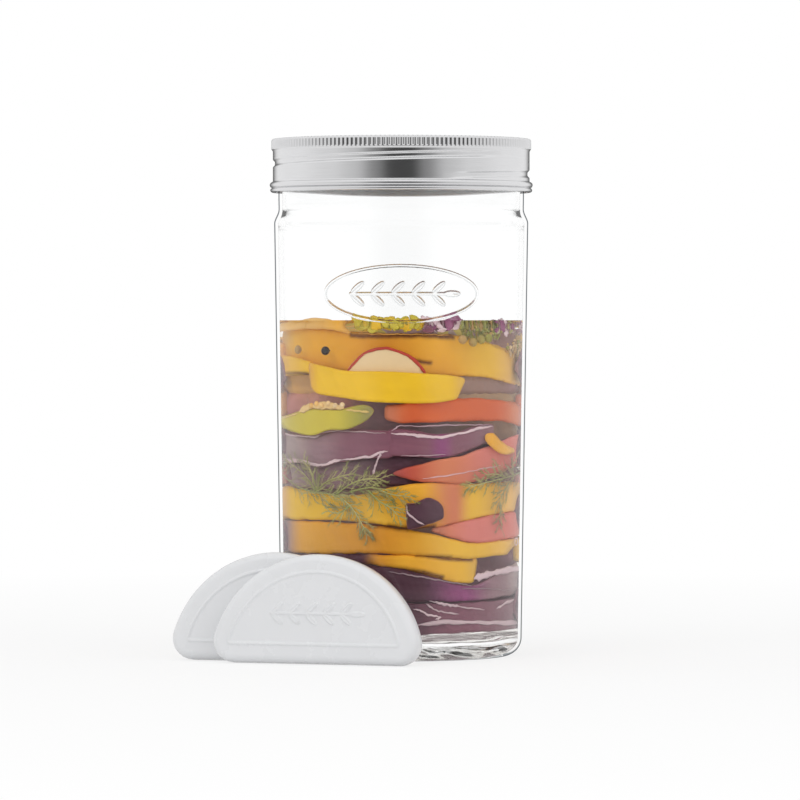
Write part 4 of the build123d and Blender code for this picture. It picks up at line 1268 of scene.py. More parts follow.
def grow(
    node, turn, material, seed, voxel=0.0005, relax=5, plump=0.0003, wander=0.0, ruffle=0.0,
    strata=0.0, bulge=0.0, end_fade=0.15, clear=0.0, haze=0.009, ends=(1, 1), lift=0.0,
):
    """Vegetable piece grown from its node's solid.

    Its ends sink a little into the brine, its outline wanders and its surface is ruffled. Each
    vertex carries its place along the piece, its outline, its painted shadow lines, its pale cut edges and
    how much the brine veils it.
    """
    places, normals, edges, faces = remeshed(node, voxel, relax)
    radius = np.hypot(places[:, 0], places[:, 1])
    outwards = places[:, :2] / radius[:, None]
    facing = np.abs((normals[:, :2] * outwards).sum(1))
    rim = smoothstep(0.35, 0.75, blurred(edges, 1 - facing, 3))
    angle = np.arctan2(places[:, 1], places[:, 0]) - turn - FRONT
    angle = (angle + pi) % FULL_TURN - pi
    along = (angle - angle.min()) / np.ptp(angle)
    height = places[:, 2].copy()
    # Painted shadow lines: dark lines painted where shade falls along the pieces' edges, which also sink a
    # shallow crease
    seam = np.zeros(len(places))
    shallow = (wall_radius(height) - radius).min()
    for width, shares in SEAM_SHARES.get(node, ()):
        seam = np.maximum(seam, near_line(angle, height, shares, width * MM, shallow))
    near_top = smoothstep(*(height.max() - edge for edge in TOP_EDGE), height)
    places += normals * plump
    places[:, 2] += lift * near_top
    depth = wall_radius(height) - np.hypot(places[:, 0], places[:, 1])
    outer_face = smoothstep(depth.min() + 0.003, depth.min(), depth)
    swing = ripple(seed, angle * 3, height / 0.02)
    small = ripple(seed + 50, angle * 14, height / 0.006)
    layers = ripple(seed + 90, angle * 2.2 + swing, height / 0.0016)
    end = ends[0] * smoothstep(end_fade, 0, along) + ends[1] * smoothstep(end_fade, 0, 1 - along)
    push = end * END_SINK + ruffle * (0.5 + 0.5 * small) + strata * (0.5 + 0.5 * layers) * outer_face
    push = push + wander * 0.4 * swing + seam * SEAM_SINK
    push = push - bulge * smoothstep(0.95, 1.0, np.abs(np.sin(angle + turn)))
    push = np.maximum(push, WALL_GAP - depth)
    first, last = REACHES.get(node, (0, 0))
    stretch = last * smoothstep(0.8, 1, along) - first * smoothstep(0.2, 0, along)
    places[:, :2] += stretch[:, None] * np.stack([-outwards[:, 1], outwards[:, 0]], axis=1)
    places[:, :2] -= outwards * push[:, None]
    places[:, 2] += wander * (0.7 * ripple(seed + 7, angle * 5) + 0.3 * ripple(seed + 9, angle * 17))
    depth = wall_radius(height) - np.hypot(places[:, 0], places[:, 1])
    veil = 1 - np.exp(-np.maximum(depth - clear, 0) / haze)
    veil = np.clip(veil + 0.32 * end * (0.7 + 0.3 * swing) + 0.05 * swing, 0, 0.95)
    if lift:
        top = near_top * smoothstep(0.008, 0.014, depth)
        patches = ripple(seed + 20, places[:, 0] / 0.009, places[:, 1] / 0.009)
        along = np.clip(along + 0.35 * top * patches, 0, 1)
        places[:, 2] -= TOP_DENT * top * (0.5 + 0.5 * patches)
        veil = veil * (1 - 0.6 * top)
    parts = [(places, faces)]
    values = {"along": [along], "rim": [rim], "seam": [seam], "cut": [0 * along], "veil": [veil]}
    for index, (width, strength, shares) in enumerate(CUT_SHARES.get(node, ())):
        parts.append(ribbon(shares, width * MM, turn, (angle, places[:, 2], depth), seed + index))
        for label, value in (("along", 0.5), ("rim", 0), ("seam", 0), ("cut", strength), ("veil", 0.06)):
            values[label].append(np.full(len(parts[-1][0]), value))
    values = {label: np.concatenate(pieces) for label, pieces in values.items()}
    finish_packed(node, joined(parts), material, values)


def plain_values(along, veil):
    """Values for the vertices of a piece without outline, seams or cut edges."""
    return {"along": along, "rim": 0 * along, "seam": 0 * along, "cut": 0 * along, "veil": veil + 0 * along}


# Painted shadow lines by node, dark lines painted where shade falls along the pieces' edges: width in
# millimetres, then angles in degrees and shares of the packing level
SEAM_SHARES = {
    "long_pepper_arch": [
        (0.9, [(-23, 1.0), (-11, 0.998), (0, 0.998), (13, 0.998), (24, 0.992)]),
        (0.7, [(3.4, 0.924), (8.2, 0.918), (13.5, 0.915)]),
    ],
    "pale_pepper_top": [
        (0.4, [(-84, 1.005), (-70, 1.003), (-60, 1.006), (-49, 1.013), (-38, 1.013), (-27, 1.004)]),
    ],
    "left_pepper_end": [(0.6, [(-82, 0.869), (-62, 0.88), (-50, 0.882), (-45, 0.876)])],
    "yellow_strip_lower": [
        (0.6, [(-15, 0.413), (-5.5, 0.408), (3, 0.402)]),
        (0.7, [(7.6, 0.325), (15, 0.323), (24, 0.321)]),
    ],
    "yellow_strip_bottom": [
        (0.5, [(7, 0.322), (14.7, 0.318), (21, 0.312), (30.6, 0.307), (36, 0.306)]),
        (0.6, [(-8, 0.293), (9, 0.279), (20, 0.26)]),
    ],
    "yellow_strip_upper": [(0.6, [(-6, 0.418), (6, 0.413), (16, 0.418)])],
}

# Pale lines by node, the cut edges of leaves and slices and a faint line along the long arch's upper edge:
# width in millimetres, strength of the colour, then angles and shares
CUT_SHARES = {
    # A faint pale line along the arch's upper edge
    "long_pepper_arch": [(0.5, 0.35, [(-20, 1.004), (-6, 1.003), (10, 1.002), (22, 1.0)])],
    "radish_slice": [
        (1.3, 1.0, [
            (-27, 0.866), (-25.4, 0.89), (-21.4, 0.92), (-16, 0.947), (-8, 0.96), (0.5, 0.947), (6.5, 0.92),
            (10.4, 0.89), (12, 0.866)
        ]),
    ],
    "back_radish_slice": [
        (1.3, 1.0, [
            (-47.6, 0.88), (-43.8, 0.934), (-31, 0.963), (-18.2, 0.934), (-14.4, 0.88), (-18.2, 0.826),
            (-31, 0.797), (-43.8, 0.826), (-47.6, 0.88)
        ]),
    ],
    "green_chilli_half": [
        (3.2, 0.9, [(-56, 0.762), (-49, 0.779), (-41, 0.783), (-34, 0.782), (-28, 0.777)]),
        (1.1, 0.6, [(-27, 0.772), (-21, 0.768), (-15.5, 0.764)]),
        (0.8, 0.7, [(-72, 0.742), (-64, 0.75), (-57, 0.759)]),
    ],
    "cabbage_leaf_left": [
        (1.0, 0.75, [(-77.5, 0.697), (-65.6, 0.694), (-54.3, 0.689), (-45.3, 0.686), (-40.7, 0.693)]),
        (0.6, 0.4, [(-39.6, 0.7), (-35.3, 0.705), (-21.6, 0.705), (-14.3, 0.702), (-7.2, 0.7)]),
        (1.7, 1.0, [
            (-73.3, 0.618), (-65.6, 0.612), (-52.9, 0.611), (-45.3, 0.602), (-39.6, 0.6), (-33.2, 0.612),
            (-29.2, 0.618)
        ]),
        (1.2, 0.9, [
            (-29.2, 0.618), (-23.4, 0.62), (-17.9, 0.627), (-15.2, 0.626), (-10.7, 0.639), (-6.3, 0.645)
        ]),
        (1.0, 0.9, [(-9.4, 0.637), (-10.7, 0.625), (-12.5, 0.6), (-13.8, 0.572)]),
    ],
    "cabbage_leaf_upper": [
        (0.6, 0.55, [
            (-4.5, 0.706), (-2.5, 0.716), (-0.5, 0.722), (10, 0.722), (25, 0.724), (38, 0.725), (46, 0.722)
        ]),
        (1.5, 1.0, [
            (-4.8, 0.7), (3.2, 0.696), (10.2, 0.692), (17.4, 0.687), (24.8, 0.694), (30.6, 0.701),
            (39.0, 0.713), (47, 0.72)
        ]),
        (0.5, 0.5, [(-0.2, 0.632), (8.5, 0.631), (21.1, 0.634)]),
    ],
    "pink_pepper_upper": [
        (0.7, 0.6, [(10.2, 0.561), (21.1, 0.569), (30.6, 0.578), (41.2, 0.589), (52.2, 0.597)]),
    ],
    "dark_cabbage_scrap": [(0.8, 0.9, [(2.6, 0.48), (3.2, 0.456), (7.6, 0.432), (11.1, 0.42)])],
    "cabbage_leaf_low": [
        (3.6, 0.95, [(37.3, 0.252), (45.8, 0.262), (57.9, 0.272), (75.9, 0.274)]),
        (0.6, 0.5, [(-5.5, 0.276), (7.6, 0.262), (21.1, 0.246), (35.8, 0.23)]),
        (0.8, 0.8, [(62.8, 0.2), (74.5, 0.214)]),
        (0.5, 0.4, [(30, 0.222), (46, 0.218), (60, 0.208), (70, 0.2)]),
    ],
    "cabbage_leaf_base": [
        (0.8, 0.85, [(13.8, 0.186), (21.1, 0.176), (30.6, 0.165), (43.5, 0.154)]),
        (1.2, 0.9, [(17, 0.18), (24, 0.172), (29, 0.168)]),
        (0.8, 0.75, [(12.0, 0.178), (17.4, 0.156), (28.7, 0.143)]),
        (1.3, 0.85, [(50.9, 0.154), (59.5, 0.174), (74.5, 0.185)]),
        (0.9, 1.0, [(5.9, 0.162), (10.2, 0.154), (12.9, 0.143), (19.2, 0.136), (16.5, 0.129)]),
        (2.2, 0.85, [(8, 0.112), (21.1, 0.12), (41.2, 0.115), (60, 0.108), (75.9, 0.103)]),
    ],
    "back_cabbage_leaf_upper": [
        (1.3, 0.9, [(-70, 0.66), (-45, 0.64), (-20, 0.655), (5, 0.64), (30, 0.66)]),
        (0.8, 0.8, [(-50, 0.7), (-20, 0.715), (15, 0.73), (50, 0.72)]),
    ],
    "back_cabbage_leaf_low": [(1.6, 0.9, [(-60, 0.215), (-30, 0.22), (0, 0.21), (35, 0.22), (65, 0.215)])],
    "back_cabbage_leaf_base": [(1.2, 0.8, [(-66, 0.12), (-20, 0.13), (25, 0.118), (66, 0.125)])],
    "back_cabbage_scrap": [(0.8, 0.9, [(-28, 0.42), (-19, 0.435), (-10, 0.425)])],
}

# How far pieces are drawn out at their ends, in metres
REACHES = {
    "long_pepper_arch": (0.003, 0.005),
    "pale_pepper_top": (0.003, 0),
    "left_pepper_end": (0.003, 0),
    "cabbage_leaf_left": (0, 0.001),
    "cabbage_leaf_upper": (0.0006, 0),
}

# Depth in metres up to which the brine doesn't veil a pepper, and the peppers with a depth of their own
CLEAR_DEPTH = 0.0075
OWN_CLEAR_DEPTHS = {
    "long_pepper_arch": 0.0125,
    "pale_pepper_top": 0.008,
    "bright_pepper_boat": 0.006,
    "left_pepper_end": 0.007,
    "small_yellow_piece": 0.005,
}

# Peppers by node: turn, slot, colours along the piece and how far its outline wanders
PEPPERS = {
    "long_pepper_arch": (
        0, "orange_pepper", "gold 0.02, amber 0.25, rust 0.45, amber 0.62, gold 0.8, pale 0.95", 0.0006,
    ),
    "pale_pepper_top": (0, "yellow_pepper", "pale 0, pale 0.6, amber 1", 0.0004),
    "bright_pepper_boat": (0, "yellow_pepper", "amber 0, yellow 0.15, yellow 0.85, gold 1", 0.0002),
    "left_pepper_end": (0, "yellow_pepper", "amber 0, gold 0.5, yellow 1", 0.0005),
    "orange_pepper_strip": (
        0, "orange_pepper", "washed 0, orange 0.15, orange 0.65, washed 0.85, orange 1", 0.0005,
    ),
    "pink_pepper_upper": (0, "red_pepper", "red 0.03, washed 0.3, pink 0.6, pink 1", 0.0006),
    "small_yellow_piece": (0, "yellow_pepper", "amber 0, pale 1", 0.0002),
    "yellow_strip_upper": (
        0, "yellow_pepper", "amber 0, yellow 0.12, gold 0.4, amber 0.55, washed 0.66, gold 0.72, pale 0.9",
        0.0006,
    ),
    "pink_pepper_lower": (0, "red_pepper", "washed 0, pink 0.3, pink 1", 0.0006),
    "yellow_strip_lower": (
        0, "yellow_pepper", "mauve 0.04, amber 0.17, rust 0.45, gold 0.7, pale 1", 0.0005,
    ),
    "yellow_strip_bottom": (0, "yellow_pepper", "purple 0.5, rust 0.58, amber 0.66, gold 1", 0.0005),
    "back_yellow_strip_upper": (pi, "yellow_pepper", "yellow 0.1, amber 0.9", 0.0008),
    "back_orange_strip": (pi, "orange_pepper", "orange 0.1, rust 0.9", 0.0008),
    "back_pink_strip": (pi, "red_pepper", "pink 0.1, red 0.9", 0.0006),
    "back_yellow_strip_middle": (pi, "yellow_pepper", "amber 0.1, yellow 0.9", 0.0008),
    "back_yellow_strip_lower": (pi, "yellow_pepper", "yellow 0.1, yellow 0.9", 0.0008),
}


class JAR_OT_peppers(Operator):
    """Pack the strips of yellow, orange and red pepper"""

    bl_idname = "jar.peppers"
    bl_label = "Peppers"

    def execute(self, context):
        for seed, (node, (turn, slot, stops, wander)) in enumerate(PEPPERS.items(), 10):
            cut = "pale" if slot == "orange_pepper" else "rib"
            material = flesh(f"Pepper {node}", stops, mottle=0.07, cut=cut, size=90.0, layering=2.5)
            plump = 0.0008 if "strip" in node or node == "pink_pepper_lower" else 0.0004
            grow(
                node, turn, material, seed, plump=plump, wander=wander, ruffle=0.0003,
                end_fade=0.12, clear=OWN_CLEAR_DEPTHS.get(node, CLEAR_DEPTH),
            )
        return {"FINISHED"}


# Cabbage by node: turn and colours along the piece
CABBAGES = {
    "cabbage_leaf_left": (0, "mist 0, mist 0.25, mauve 0.5, plum 0.75, plum 1"),
    "cabbage_leaf_upper": (0, "plum 0, plum 0.28, magenta 0.42, plum 0.55, mauve 1"),
    "cabbage_leaf_middle": (0, "mist 0, mauve 0.25, purple 0.5, plum 1"),
    "dark_cabbage_scrap": (0, "purple 0, purple 1"),
    "cabbage_leaf_low": (0, "purple 0, purple 0.55, magenta 0.7, mauve 0.82, mist 1"),
    "cabbage_leaf_base": (0, "purple 0, purple 0.5, plum 0.66, mauve 1"),
    "back_cabbage_leaf_upper": (pi, "purple 0, magenta 0.5, purple 1"),
    "back_cabbage_scrap": (pi, "purple 0, purple 1"),
    "back_cabbage_leaf_low": (pi, "purple 0, mauve 0.5, purple 1"),
    "back_cabbage_leaf_base": (pi, "purple 0, magenta 1"),
    "side_scraps_right": (pi / 2, "purple 0, magenta 1"),
    "side_scraps_left": (-pi / 2, "magenta 0, purple 1"),
}


class JAR_OT_cabbage(Operator):
    """Pack the leaves of red cabbage, with their pale cut edges"""

    bl_idname = "jar.cabbage"
    bl_label = "Red cabbage"

    def execute(self, context):
        for seed, (node, (turn, stops)) in enumerate(CABBAGES.items(), 40):
            material = flesh(f"Cabbage {node}", stops, mottle=0.16, rim="plum", size=70.0, layering=5.0)
            ends = {"cabbage_leaf_left": (1, 0), "cabbage_leaf_upper": (0, 1)}.get(node, (1, 1))
            ragged = 0.0013 if node.startswith("side") else 0.0006
            grow(
                node, turn, material, seed, relax=3, plump=0.0005, wander=ragged,
                ruffle=ragged, strata=0.0007, end_fade=0.08, clear=0.0085, haze=0.012, ends=ends,
            )
        return {"FINISHED"}


class JAR_OT_middle(Operator):
    """Pack the middle of the jar, which shows between the outer pieces"""

    bl_idname = "jar.middle"
    bl_label = "Packed middle"

    def execute(self, context):
        upper = "purple 0, pink 0.3, pink 0.4, plum 0.45, purple 0.56, tan 0.64, purple 1"
        top = (
            "purple 0, amber 0.3, amber 0.42, lime 0.45, lime 0.52, mist 0.54, mauve 0.58, mauve 0.68, "
            "plum 0.74, purple 1"
        )
        cores = {
            "core_cabbage_base": ("purple_cabbage", "purple 0, purple 0.5, plum 0.7, purple 1"),
            "core_peppers": ("yellow_pepper", "rust 0, plum 0.3, rust 0.5, plum 0.7, rust 1"),
            "core_cabbage_upper": ("purple_cabbage", upper),
            "core_leaves_top": ("purple_cabbage", top),
        }
        for seed, (node, (slot, stops)) in enumerate(cores.items(), 70):
            material = flesh(f"Packed {node}", stops, mottle=0.22, size=45.0, layering=4.0)
            grow(
                node, 0, material, seed, voxel=0.0012, relax=2, plump=0.0012, wander=0.0004,
                ruffle=0.0015, strata=0.0014, bulge=0.0035, end_fade=0.001, clear=0.006,
                lift=0.004 if node == "core_leaves_top" else 0,
            )
        return {"FINISHED"}


class JAR_OT_slices(Operator):
    """Pack the radish slices and the chillies"""

    bl_idname = "jar.slices"
    bl_label = "Radish and chilli"

    def execute(self, context):
        radish, chilli = ("cream 0, cream 1", None, "skin_red"), "olive 0, lime 0.2, lime 0.7, olive 1"
        slices = {
            "radish_slice": (0, "radish_flesh", *radish, 0.0075),
            "back_radish_slice": (pi, "radish_flesh", *radish, 0.005),
            "green_chilli_half": (0, "lime_green", chilli, "lime", "peach", 0.005),
            "back_green_chilli": (pi, "lime_green", "lime 0, olive 1", "lime", "peach", 0.005),
        }
        for seed, (node, (turn, slot, stops, rim, cut, clear)) in enumerate(slices.items(), 80):
            material = flesh(f"Slice {node}", stops, rim=rim, cut=cut, mottle=0.07)
            grow(node, turn, material, seed, relax=4, ruffle=0.0002, clear=clear, end_fade=0.1)
        return {"FINISHED"}


class JAR_OT_seeds(Operator):
    """Scatter the peppercorns, coriander and chilli seeds"""

    bl_idname = "jar.seeds"
    bl_label = "Seeds"

    def execute(self, context):
        seeds = {
            "peppercorns": ("peppercorn", "tan 0, pepper_black 0.5, pepper_black 1", 0.0003),
            "coriander_seeds": ("seed_tan", "tan 0, olive 1", 0.0002),
            "chilli_seeds": ("seed_tan", "pale 0, cream 1", 0.0001),
        }
        for seed, (node, (slot, stops, ruffle)) in enumerate(seeds.items(), 95):
            material = flesh(f"Seed {node}", stops, mottle=0.25, size=500.0, layering=1.0)
            grow(
                node, 0, material, seed, voxel=0.0003, relax=2, plump=0.0001, ruffle=ruffle,
                end_fade=0.001, clear=0.009,
            )
        return {"FINISHED"}


# Depths behind the wall of the scraps and heads at the top, and radii at the foot and tip of the
# stems, branches and needles of the dill, in metres
SCRAP_DEPTHS, HEAD_DEPTHS = (0.005, 0.0075), (0.005, 0.0072)
STEM, BRANCH, NEEDLE = (0.00036, 0.00018), (0.00016, 0.0001), (0.00013, 0.00008)


def chip(angle, height, depth, reach, thickness, chance):
    """Vertices and faces of a thin curled scrap with a ragged outline, near the wall."""
    sides = 16
    turns = np.arange(sides) * FULL_TURN / sides
    seed = int(chance.integers(1, 10**6))
    edge = reach * (0.8 + 0.35 * ripple(seed, 2 * np.cos(turns), 2 * np.sin(turns)))
    squash, curl = chance.uniform(0.4, 0.9), chance.uniform(-0.5, 0.5)
    layers = []
    for side, rings in ((1, (1.0, 0.75, 0.4)), (-1, (0.75, 0.4))):
        for share in rings:
            swell = side * thickness / 2 * sqrt(1 - share**4)
            across, up = share * edge * np.cos(turns), share * edge * np.sin(turns) * squash
            layers.append(np.stack([across, up, swell + curl * across**2 / reach], axis=1))
    flat = np.vstack(layers + [[[0, 0, thickness / 2]], [[0, 0, -thickness / 2]]])
    faces = grid_faces(3, sides)
    front_middle, back_middle = 5 * sides, 5 * sides + 1
    for here in range(sides):
        beside = (here + 1) % sides
        for outer, inner in ((0, 3 * sides), (3 * sides, 4 * sides)):
            faces.append((outer + beside, outer + here, inner + here, inner + beside))
        faces.append((2 * sides + here, 2 * sides + beside, front_middle))
        faces.append((4 * sides + beside, 4 * sides + here, back_middle))
    heading, tilt = chance.uniform(-0.6, 0.6), chance.uniform(-0.9, 0.9)
    u, v, w = flat.T
    v, w = v * cos(tilt) - w * sin(tilt), v * sin(tilt) + w * cos(tilt)
    u, v = u * cos(heading) - v * sin(heading), u * sin(heading) + v * cos(heading)
    foot = wall_place(np.array(angle), height, depth)
    sideways = np.array([cos(angle), sin(angle), 0])
    outwards = np.array([sin(angle), -cos(angle), 0])
    return foot + u[:, None] * sideways + v[:, None] * (0, 0, 1) + w[:, None] * outwards, faces


def bead(place, radius):
    """Vertices and faces of a small round seed."""
    rise = np.cos(np.linspace(pi - 0.25, 0.25, 7))
    points = place + rise[:, None] * (0, 0, radius)
    return tube(points, radius * np.sqrt(1 - rise**2), sides=8, outwards=np.tile((1.0, 0.0, 0.0), (7, 1)))


# Scraps at the top by node: slot, colours, how many, sizes and thickness in millimetres, angles and shares
TOP_SHARES = {
    "lime_pepper_bits": (
        "lime_green", "lime 0, lime 0.5, yellow 0.7, olive 1", 90, (1.5, 3.0), 0.9, (-23, 10), (1.02, 1.05),
    ),
    "top_cabbage_scrap": (
        "purple_cabbage", "rib 0, rib 0.4, magenta 0.6, plum 1",
        50, (1.6, 3.0), 0.5, (11, 29), (1.014, 1.048),
    ),
    "purple_top_bits": (
        "purple_cabbage", "magenta 0, plum 0.5, rib 0.8, olive 1",
        60, (1.0, 2.4), 0.5, (48, 79), (1.004, 1.045),
    ),
}


class JAR_OT_tops(Operator):
    """Pile the small scraps, seed heads, floret and onion curl"""

    bl_idname = "jar.tops"
    bl_label = "Small pieces"

    def execute(self, context):
        level = settings("jar").packing_level
        for seed, (node, rows) in enumerate(TOP_SHARES.items(), 130):
            slot, stops, pieces, sizes, thickness, angles, shares = rows
            chance = np.random.default_rng(seed)
            parts = []
            for _ in range(pieces):
                height, depth = chance.uniform(*shares) * level, chance.uniform(*SCRAP_DEPTHS)
                angle = float(behind_wall(radians(chance.uniform(*angles)), height, depth))
                reach = chance.uniform(*sizes) * MM
                parts.append(chip(angle, height, depth, reach, thickness * MM, chance))
            self.place(node, slot, flesh(f"Scraps {node}", stops, mottle=0.2, roughness=0.3), parts, chance)
        self.umbels("seed_heads", (29, 49), (0.985, 1.034), 12, "dill 0, olive 0.6, tan 1")
        self.umbels("floret_piece", (55, 69), (0.93, 0.985), 9, "cream 0, tan 0.6, olive 1")
        self.curl(level)
        return {"FINISHED"}

    def place(self, node, slot, material, parts, chance):
        """Piece made of several parts, each with its own place in the range of colours."""
        along = np.concatenate([np.full(len(part[0]), chance.random()) for part in parts])
        finish_packed(node, joined(parts), material, plain_values(along, 0.05))

    def umbels(self, node, angles, shares, heads, stops):
        """Heads of small seeds on fine stalks that spread from a point."""
        level = settings("jar").packing_level
        chance = np.random.default_rng(sum(map(ord, node)))
        parts = []
        for index in range(heads):
            foot_angle = radians(angles[0] + (angles[1] - angles[0]) * (index + 0.5) / heads)
            foot_angle = float(behind_wall(foot_angle, shares[0] * level, 0.006))
            foot = wall_place(np.array(foot_angle), shares[0] * level, 0.006)
            for _ in range(6):
                tip = wall_place(
                    np.array(foot_angle + chance.uniform(-0.09, 0.09)),
                    chance.uniform(shares[0] + 0.3 * (shares[1] - shares[0]), shares[1]) * level,
                    chance.uniform(*HEAD_DEPTHS),
                )
                bend = (foot + tip) / 2 + (0, 0, 0.0004)
                parts.append(tube(smooth_line([foot, bend, tip], 6), [0.00018] * 6, sides=5))
                parts.append(bead(tip, chance.uniform(0.0005, 0.0009)))
        slot = "lime_green" if node == "seed_heads" else "seed_tan"
        self.place(node, slot, flesh(f"Umbels {node}", stops, mottle=0.2), parts, chance)

    def curl(self, level):
        """Thin strand of onion curled on itself."""
        low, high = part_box("white_curl")
        middle = (low + high) / 2
        angle = atan2(middle.x, -middle.y)
        steps = 60
        turns = np.linspace(-0.6, FULL_TURN * 1.25, steps)
        reach = np.linspace(0.0017, 0.0009, steps)
        height = middle.z + reach * np.sin(turns)
        depth = 0.0028 + 0.0006 * np.sin(turns / 2)
        points = wall_place(angle + reach * np.cos(turns) / wall_radius(middle.z), height, depth)
        part = tube(points, np.linspace(0.0003, 0.0002, steps), sides=6)
        onion = flesh("Onion", "rib 0, rib 1")
        self.place("white_curl", "onion_white", onion, [part], np.random.default_rng(5))


# Dill stems by node: turn, then the angle in degrees and the share of the packing level of each point
DILL_SHARES = {
    "dill_sprig_left": (
        0,
        [
            [(-76, 0.572), (-57.2, 0.531), (-45.3, 0.517), (-33.2, 0.509), (-25.3, 0.477), (-19.7, 0.427),
             (-17.4, 0.39)],
            [(-45.3, 0.515), (-38.5, 0.548), (-30.2, 0.567), (-24.4, 0.575)],
            [(-33.2, 0.509), (-25.3, 0.542), (-17.9, 0.559), (-9.8, 0.561)],
            [(-25.3, 0.52), (-14.3, 0.534), (-5.5, 0.515), (4.0, 0.506)],
            [(-16.1, 0.526), (-10.7, 0.493), (-5.5, 0.474), (-1.5, 0.448)],
            [(-44.1, 0.515), (-52.9, 0.57), (-65.6, 0.605), (-72, 0.615)],
            [(-44.1, 0.515), (-47.7, 0.575), (-52.9, 0.61)],
            [(-25.3, 0.477), (-31.2, 0.455), (-37.4, 0.46)],
        ],
    ),
    "dill_sprig_right": (
        0,
        [
            [(76, 0.575), (59.5, 0.56), (45.8, 0.548), (34, 0.533)],
            [(66.5, 0.564), (57.9, 0.52), (55.0, 0.482), (56.1, 0.41)],
            [(66.5, 0.564), (64.6, 0.59), (69, 0.615)],
            [(59.5, 0.559), (50.9, 0.572), (44.6, 0.57)],
        ],
    ),
    "dill_sprig_back": (
        pi,
        [
            [(-60, 0.63), (-35, 0.6), (-10, 0.585)],
            [(-35, 0.6), (-22, 0.56)],
            [(-48, 0.615), (-40, 0.65), (-30, 0.655)],
        ],
    ),
}


class JAR_OT_dill(Operator):
    """Press the feathery sprigs of dill against the glass"""

    bl_idname = "jar.dill"
    bl_label = "Dill"

    def execute(self, context):
        material = flesh("Dill", "dill 0, dill_pale 0.35, dill 0.7, dill_dark 1", mottle=0.2, size=300.0)
        for seed, (node, (turn, stems)) in enumerate(DILL_SHARES.items(), 120):
            chance = np.random.default_rng(seed)
            parts, ages = [], []
            for stem_shares in stems:
                self.frond(stem_shares, turn, chance, parts, ages)
            vertices, faces = joined(parts)
            angle = np.arctan2(vertices[:, 1], vertices[:, 0]) - turn - FRONT
            angle = (angle + pi) % FULL_TURN - pi
            depth = wall_radius(vertices[:, 2]) - np.hypot(vertices[:, 0], vertices[:, 1])
            veil = np.clip((depth - 0.001) / 0.008 + 0.35 * smoothstep(0.6, 1.2, np.abs(angle)), 0, 0.6)
            values = plain_values(np.concatenate(ages), veil)
            finish_packed(node, (vertices, faces), material, values)
        return {"FINISHED"}

    def frond(self, stem_shares, turn, chance, parts, ages):
        """Stem with pairs of feathery branches along it."""
        angle, height = wall_line(stem_shares, 12, 0.001)
        line = np.stack([angle * wall_radius(height), height], axis=1)
        self.strand(line, STEM, 0.0009, turn, parts, ages, (0.0, 0.4))
        steps = np.linalg.norm(np.diff(line, axis=0), axis=1)
        pairs = max(3, int(steps.sum() / 0.0025))
        last = len(line) - 1
        for index in range(pairs + 1):
            share = index / pairs
            spot = min(int(share * last), last - 1)
            heading = line[spot + 1] - line[spot]
            heading = atan2(heading[1], heading[0])
            for side in (-1, 1):
                tilt = side * chance.uniform(0.3, 0.85)
                reach = chance.uniform(0.005, 0.0095) * (1 - 0.4 * share)
                self.feather(line[spot], heading + tilt, reach, turn, chance, parts, ages)

    def feather(self, foot, heading, reach, turn, chance, parts, ages):
        """Curved branch that splits into thin needles."""
        bend = chance.uniform(-0.6, 0.6)
        depth = chance.uniform(0.0005, 0.003)
        age = chance.uniform(-0.2, 0.3)
        headings = heading + bend * np.linspace(0, 1, 7)
        moves = np.stack([np.cos(headings), np.sin(headings)], axis=1) * reach / 6
        line = foot + np.vstack([[0, 0], np.cumsum(moves[:-1], axis=0)])
        self.strand(line, BRANCH, depth, turn, parts, ages, (0.2, 0.6 + age))
        for spot in range(1, 6):
            for side in (-1, 1):
                if chance.random() < 0.5:
                    continue
                tilt = headings[spot] + side * chance.uniform(0.3, 0.6)
                short = reach * chance.uniform(0.2, 0.42)
                turns = tilt + chance.uniform(-0.4, 0.4) * np.linspace(0, 1, 4)
                step = np.stack([np.cos(turns), np.sin(turns)], axis=1) * short / 3
                needle = line[spot] + np.vstack([[0, 0], np.cumsum(step[:-1], axis=0)])
                self.strand(needle, NEEDLE, depth, turn, parts, ages, (0.3 + age, 0.8 + age))

    def strand(self, line, radii, depth, turn, parts, ages, span):
        """Tapering tube along a line that is drawn flat on the wall, with its span of colours."""
        sides = 4
        points = wall_place(line[:, 0] / wall_radius(line[:, 1]) + turn, line[:, 1], depth)
        parts.append(tube(points, np.linspace(*radii, len(line)), sides))
        ages.append(np.repeat(np.clip(np.linspace(*span, len(line)), 0, 1), sides))


# Width of the camera's sensor in millimetres, and the height in metres at which the lamps point
SENSOR_WIDTH = 36.0
AIM_HEIGHT = 0.1

# Softboxes: name, place, width in metres and power in watts
SOFTBOXES = (
    ("Key softbox", (-1.3, -1.5, 1.3), 1.5, 11.0),
    ("Fill softbox", (1.4, -1.4, 1.0), 1.5, 8.0),
    ("Top softbox", (0.0, 0.1, 2.0), 1.6, 7.0),
)


